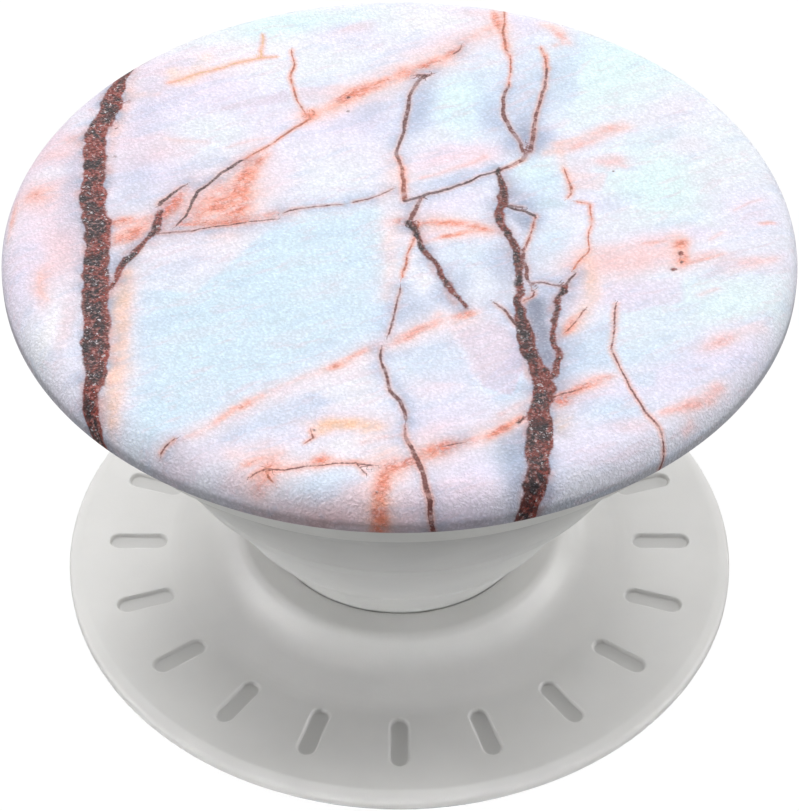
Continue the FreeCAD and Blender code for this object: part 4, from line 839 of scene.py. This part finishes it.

    # pebbled surface: small rounded bumps, with painted shade in the hollows and painted highlight on the tops
    wob = t.add("ShaderNodeVectorMath", operation="MULTIPLY_ADD")
    drift = t.add("ShaderNodeTexNoise", noise_dimensions="3D")
    t.link(p, drift.inputs["Vector"])
    drift.inputs["Scale"].default_value = 3.0
    drift.inputs["Detail"].default_value = 1.0
    t.link(drift.outputs["Color"], wob.inputs[0])
    wob.inputs[1].default_value = (0.35, 0.35, 0.35)
    t.link(p, wob.inputs[2])
    cells = t.voronoi(wob.outputs[0], 5.6, "F1")
    pebble = t.fit(cells, 0.12, 0.62, 1.0, 0.0)
    grain = t.noise(p, 7.8, 1.5, 0.6, 0.4)
    height = t.math("ADD", t.math("MULTIPLY", pebble, 0.55), t.math("MULTIPLY", t.fit(grain, 0.3, 0.7, 0.0, 1.0), 0.55))
    # Partly a fine mottle of the print and partly painted shade and highlight: colour follows bump height, darker in
    # the hollows and paler on the tops.
    pebble_mottle_and_shade = t.fit(height, 0.22, 0.84, 0.87, 1.06)
    pebble_mottle_and_shade_rgb = t.add("ShaderNodeCombineColor")
    for k in range(3):
        t.link(pebble_mottle_and_shade, pebble_mottle_and_shade_rgb.inputs[k])
    col = t.mix(1.0, col, pebble_mottle_and_shade_rgb.outputs[0], "MULTIPLY")
    # Painted highlight: the highest bump tops are mixed toward pale grey, standing in for their glints.
    col = t.mix(t.fit(height, 0.66, 0.90, 0.0, 0.16), col, rgba((244, 240, 246)))
    bump = t.bump(height, 1.0, 0.042)
    return t.set(color=col, rough=0.44, spec=0.36, normal=bump)


# ------------------------------------------------------------------ plain materials
def plastic(name, colour, rough=0.42, spec=0.45, grain=0.012, mottle=0.03, sss=0.0, etched=False):
    t = Nodes(name)
    p = t.place()
    slow = t.noise(p, 0.22, 3.0, 0.5)
    fine = t.noise(p, 9.0, 3.0, 0.6)
    a = rgba([min(255, v * (1 + mottle)) for v in colour])
    b = rgba([v * (1 - mottle) for v in colour])
    col = t.mix(t.fit(slow, 0.35, 0.65, 0.0, 1.0), b, a)
    if etched:
        floor = t.add("ShaderNodeAttribute", attribute_name="etched").outputs["Fac"]
        col = t.mix(floor, col, rgba([v * 0.935 for v in colour]))
    bump = t.bump(fine, 0.35, grain)
    t.set(color=col, rough=rough, spec=spec, normal=bump)
    if sss:
        t.set(sss=sss, sss_scale=0.0008, sss_radius=(1.0, 0.95, 0.85))
    return t.mat


def gel():
    t = Nodes("gel")
    p = t.place()
    slow = t.noise(p, 0.5, 3.0, 0.55)
    fine = t.noise(p, 4.0, 3.0, 0.55)
    col = t.mix(t.fit(slow, 0.3, 0.7, 0.0, 1.0), rgba((176, 180, 184)), rgba((196, 199, 202)))
    return t.set(color=col, rough=0.16, spec=0.5, normal=t.bump(fine, 0.25, 0.03))


def foam():
    t = Nodes("foam_tape")
    p = t.place()
    cells = t.voronoi(p, 7.0, "F1")
    col = t.mix(t.fit(cells, 0.1, 0.7, 0.0, 1.0), rgba((196, 196, 192)), rgba((226, 226, 222)))
    return t.set(color=col, rough=0.75, spec=0.25, normal=t.bump(cells, 0.5, 0.04))


def steel():
    t = Nodes("spring_steel")
    p = t.place()
    lines = t.noise(p, 12.0, 4.0, 0.7)
    col = t.mix(t.fit(lines, 0.3, 0.7, 0.0, 1.0), rgba((172, 172, 176)), rgba((206, 206, 208)))
    return t.set(color=col, metal=1.0, rough=0.28, normal=t.bump(lines, 0.2, 0.006))


BASE_PLASTIC = plastic("base_plastic", (231, 230, 228), rough=0.38, mottle=0.012, sss=0.12, etched=True)
ELASTOMER = plastic("elastomer", (218, 218, 216), rough=0.46, mottle=0.015, sss=0.10)
BACK_PLASTIC = plastic("back_plastic", (244, 244, 241), rough=0.40, mottle=0.015, sss=0.08)
INNER_PLASTIC = plastic("inner_plastic", (214, 214, 210), rough=0.5)
SHELL_PLASTIC = plastic("shell_plastic", (232, 232, 230), rough=0.4)
GEL, FOAM, STEEL = gel(), foam(), steel()
MARBLE = marble_material()

for node, material in (
    ("gel_pad", GEL), ("bonding_tape", FOAM), ("retaining_plate", INNER_PLASTIC), ("neck_insert", INNER_PLASTIC),
    ("socket_plate", INNER_PLASTIC), ("lock_spring", STEEL), ("bayonet_hub", INNER_PLASTIC), ("top_shell", SHELL_PLASTIC),
    ("platform", BASE_PLASTIC), ("bellows_neck", ELASTOMER), ("lower_web", ELASTOMER), ("mid_ring", ELASTOMER),
    ("upper_web", ELASTOMER), ("bellows_collar", ELASTOMER), ("back_plate", BACK_PLASTIC), ("print_film", MARBLE),
):
    paint(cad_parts[node], material)


# ------------------------------------------------------------------ pieces
film = paint(make_film(), MARBLE)
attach(film, "button")
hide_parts("print_film")


def platform_top(r):
    """Height of the platform's upper face without its dashes, from the rounded section."""
    return np.interp(r, PLAT_R, PLAT_Z)


UPPER = rounded([(18.02, 0.8), (18.25, 0.8, 0.12), (18.25, 1.36, 0.34), (17.6, 1.585, 0.6), (12.3, 1.62, 3.0), (9.9, 2.25, 2.0),
                 (8.85, 3.5, 0.8), (7.19, 3.5, 0.05), (7.23, 2.3)], closed=False, seg=12)
_flat = [(r, z) for r, z in UPPER if 7.4 < r < 18.2 and z > 1.2]
_flat.sort()
PLAT_R = np.array([r for r, z in _flat])
PLAT_Z = np.array([z for r, z in _flat])


def make_platform():
    """The flared platform, with a plain ring of shallow radial dashes."""
    count, inner, outer, half, deep = 20, 13.4, 15.5, 0.5, 0.2
    outer_part = [p for p in UPPER if p[0] >= 16.35]
    inner_part = [p for p in UPPER if p[0] <= 12.55]
    band = [(r, float(platform_top(np.array([r]))[0])) for r in np.linspace(16.3, 12.6, 62)]
    section = outer_part + band + split_long(inner_part, 0.18, closed=False)
    under = [(9.0, 2.3), (9.0, 1.5), (9.8, 1.5), (9.8, 0.8)]
    section = section + under
    # finer steps across each dash
    steps = []
    pitch = 2 * math.pi / count
    for k in range(count):
        mid = k * pitch
        w = 0.72 / 14.4
        for s in np.linspace(-w, w, 25):
            steps.append(mid + s)
        rest = pitch - 2 * w
        for j in range(1, 8):
            steps.append(mid + w + rest * j / 8)
    steps = np.array(sorted(v % (2 * math.pi) for v in steps))
    seg = len(steps)
    cos, sin = np.cos(steps), np.sin(steps)
    off = (steps + pitch / 2) % pitch - pitch / 2
    verts, rings, etched = [], [], []
    for r, z in section:
        zz = np.full(seg, z)
        low = np.zeros(seg)
        if 12.6 <= r <= 16.3 and z > 1.3:
            lx, ly = r * np.cos(off), r * np.sin(off)
            cx = np.clip(lx, inner, outer)
            d = np.hypot(lx - cx, ly) - half
            low = smooth01(0.5 - d / 0.14)
            zz = z - deep * low
        etched.append(low)
        start = len(verts)
        verts += [(r * cos[k] * MM, r * sin[k] * MM, zz[k] * MM) for k in range(seg)]
        rings.append(start)
    faces = []
    for i in range(len(rings)):
        a, b = rings[i], rings[(i + 1) % len(rings)]
        for k in range(seg):
            k2 = (k + 1) % seg
            faces.append((a + k, b + k, b + k2, a + k2))
    obj = finish_mesh("platform_shell", verts, faces, sharp=50.0)
    att = obj.data.attributes.new("etched", "FLOAT", "POINT")
    att.data.foreach_set("value", np.concatenate(etched).astype(np.float32))
    return obj


platform = paint(make_platform(), BASE_PLASTIC)
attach(platform, "base")
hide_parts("platform")

neck = paint(lathe("bellows_foot", rounded([(6.6, 2.25), (7.15, 2.25), (7.15, 3.5), (6.6, 3.5)])), ELASTOMER)
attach(neck, "swivel")
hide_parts("bellows_neck")


def web(name, outer, wall, node):
    inner = [(r - wall, z) for r, z in reversed(outer)]
    profile = split_long(outer, 0.22, closed=False) + split_long(inner, 0.22, closed=False)
    obj = paint(lathe(name, profile, seg=256, sharp=60.0), ELASTOMER)
    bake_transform(obj)
    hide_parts(node)
    return obj


LOWER = rounded([(7.15, 3.5), (9.20, 6.70, 0.10), (9.36, 6.84, 0.05), (9.38, 7.00, 0.10), (11.94, 11.28, 0.15), (12.0, 11.4)], closed=False, seg=6)
UPPER_WEB = rounded([(12.6, 12.4), (16.2, 18.0, 0.8), (17.15, 20.3)], closed=False, seg=6)
lower = web("lower_fold_wall", LOWER, 0.5, "lower_web")
upper = web("upper_fold_wall", UPPER_WEB, 0.5, "upper_web")

ring = paint(lathe("mid_hoop", rounded([(11.2, 11.4, 0.1), (12.0, 11.4), (12.42, 11.74, 0.35), (12.6, 12.4), (11.8, 12.4, 0.1)], seg=8)), ELASTOMER)
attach(ring, "mid")
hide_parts("mid_ring")

skirt = paint(lathe("button_back", rounded([
    (0, 23.15), (17.45, 23.15, 0.2), (17.45, 19.8, 0.06), (17.72, 19.8, 0.08), (19.25, 22.4, 0.1), (17.9, 22.4), (17.9, 23.5), (0, 23.5)], seg=5)), BACK_PLASTIC)
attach(skirt, "button")
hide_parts("back_plate")


# ------------------------------------------------------------------ stage and light
def make_stage():
    bpy.ops.mesh.primitive_plane_add(size=3.0, location=(0, 0, -0.00002))
    floor = bpy.context.object
    floor.name = "floor"
    mat = bpy.data.materials.new("floor")
    mat.use_nodes = True
    tree = mat.node_tree
    tree.nodes.clear()
    out = tree.nodes.new("ShaderNodeOutputMaterial")
    diffuse = tree.nodes.new("ShaderNodeBsdfDiffuse")
    diffuse.inputs[0].default_value = (0.31, 0.31, 0.31, 1)
    glow = tree.nodes.new("ShaderNodeEmission")
    glow.inputs[0].default_value = (1, 1, 1, 1)
    glow.inputs[1].default_value = 1.1
    ray = tree.nodes.new("ShaderNodeLightPath")
    part = tree.nodes.new("ShaderNodeMath")
    part.operation = "MULTIPLY"
    part.inputs[1].default_value = 0.9
    tree.links.new(ray.outputs["Is Camera Ray"], part.inputs[0])
    mix = tree.nodes.new("ShaderNodeMixShader")
    tree.links.new(part.outputs[0], mix.inputs[0])
    tree.links.new(diffuse.outputs[0], mix.inputs[1])
    tree.links.new(glow.outputs[0], mix.inputs[2])
    back = tree.nodes.new("ShaderNodeNewGeometry")
    clear = tree.nodes.new("ShaderNodeBsdfTransparent")
    both = tree.nodes.new("ShaderNodeMixShader")
    short = tree.nodes.new("ShaderNodeMath")
    short.operation = "LESS_THAN"
    short.inputs[1].default_value = 0.0012
    tree.links.new(ray.outputs["Ray Length"], short.inputs[0])
    open_ = tree.nodes.new("ShaderNodeMath")
    open_.operation = "MAXIMUM"
    tree.links.new(short.outputs[0], open_.inputs[0])
    tree.links.new(back.outputs["Backfacing"], open_.inputs[1])
    tree.links.new(open_.outputs[0], both.inputs[0])
    tree.links.new(mix.outputs[0], both.inputs[1])
    tree.links.new(clear.outputs[0], both.inputs[2])
    tree.links.new(both.outputs[0], out.inputs[0])
    floor.data.materials.append(mat)


def softbox(name, location, target, size, power, colour=(1, 1, 1)):
    data = bpy.data.lights.new(name, "AREA")
    data.shape = "RECTANGLE"
    data.size, data.size_y = size
    data.energy = power
    data.color = colour
    obj = bpy.data.objects.new(name, data)
    scene.collection.objects.link(obj)
    obj.location = location
    obj.rotation_euler = (Vector(target) - Vector(location)).to_track_quat("-Z", "Y").to_euler()
    obj.visible_camera = False
    return obj


make_stage()
world = bpy.data.worlds.new("world")
scene.world = world
world.use_nodes = True
wt = world.node_tree
room = wt.nodes["Background"]
room.inputs[0].default_value = (0.97, 0.985, 1.0, 1)
coord = wt.nodes.new("ShaderNodeTexCoord")
axis = wt.nodes.new("ShaderNodeSeparateXYZ")
wt.links.new(coord.outputs["Generated"], axis.inputs[0])
below = wt.nodes.new("ShaderNodeMapRange")      # plain light from under the floor for views from below
below.inputs["From Min"].default_value, below.inputs["From Max"].default_value = -0.02, -0.10
below.inputs["To Min"].default_value, below.inputs["To Max"].default_value = 0.02, 0.55
wt.links.new(axis.outputs[2], below.inputs["Value"])
wt.links.new(below.outputs[0], room.inputs[1])
white = wt.nodes.new("ShaderNodeBackground")
white.inputs[0].default_value = (1, 1, 1, 1)
seen = wt.nodes.new("ShaderNodeLightPath")
pick = wt.nodes.new("ShaderNodeMixShader")
wt.links.new(seen.outputs["Is Camera Ray"], pick.inputs[0])
wt.links.new(room.outputs[0], pick.inputs[1])
wt.links.new(white.outputs[0], pick.inputs[2])
wt.links.new(pick.outputs[0], wt.nodes["World Output"].inputs[0])


def panel(name, azimuth, elevation, distance, size, power, colour=(1, 1, 1)):
    """A softbox placed by its direction in degrees; azimuth 0 is behind, 180 the camera's side."""
    a, e = math.radians(azimuth), math.radians(elevation)
    place = (distance * math.sin(a) * math.cos(e), distance * math.cos(a) * math.cos(e), distance * math.sin(e) + 0.015)
    return softbox(name, place, (0, 0, 0.015), size, power, colour)


# azimuth, elevation, watts
PANELS = [
    (180, 12, 0.28), (0, 45, 0.52), (0, 12, 0.42), (-35, 12, 0.22), (35, 12, 0.25), (-35, 60, 0.42), (60, 45, 0.20), (-60, 45, 0.08),
    (80, 12, 0.64), (-80, 12, 0.20), (-100, 12, 0.40), (100, 12, 0.33), (-120, 12, 0.09),
    (-100, 75, 0.495), (-100, 60, 0.14), (120, 75, 0.605), (-120, 75, 0.08),
]
for i, (azimuth, elevation, power) in enumerate(PANELS):
    panel(f"panel_{i:02d}", azimuth, elevation, 0.50, (0.16, 0.16), power)

# narrow strips near the floor that catch the base's edge
for i, (azimuth, power) in enumerate([(180, 0.00064), (-150, 0.00066), (150, 0.0003), (-120, 0.0001)]):
    a = math.radians(azimuth)
    strip = softbox(f"strip_{i}", (0.10 * math.sin(a), 0.10 * math.cos(a), 0.0035), (0, 0, 0.0030), (0.07, 0.006), power)
    strip.data.spread = math.radians(24)
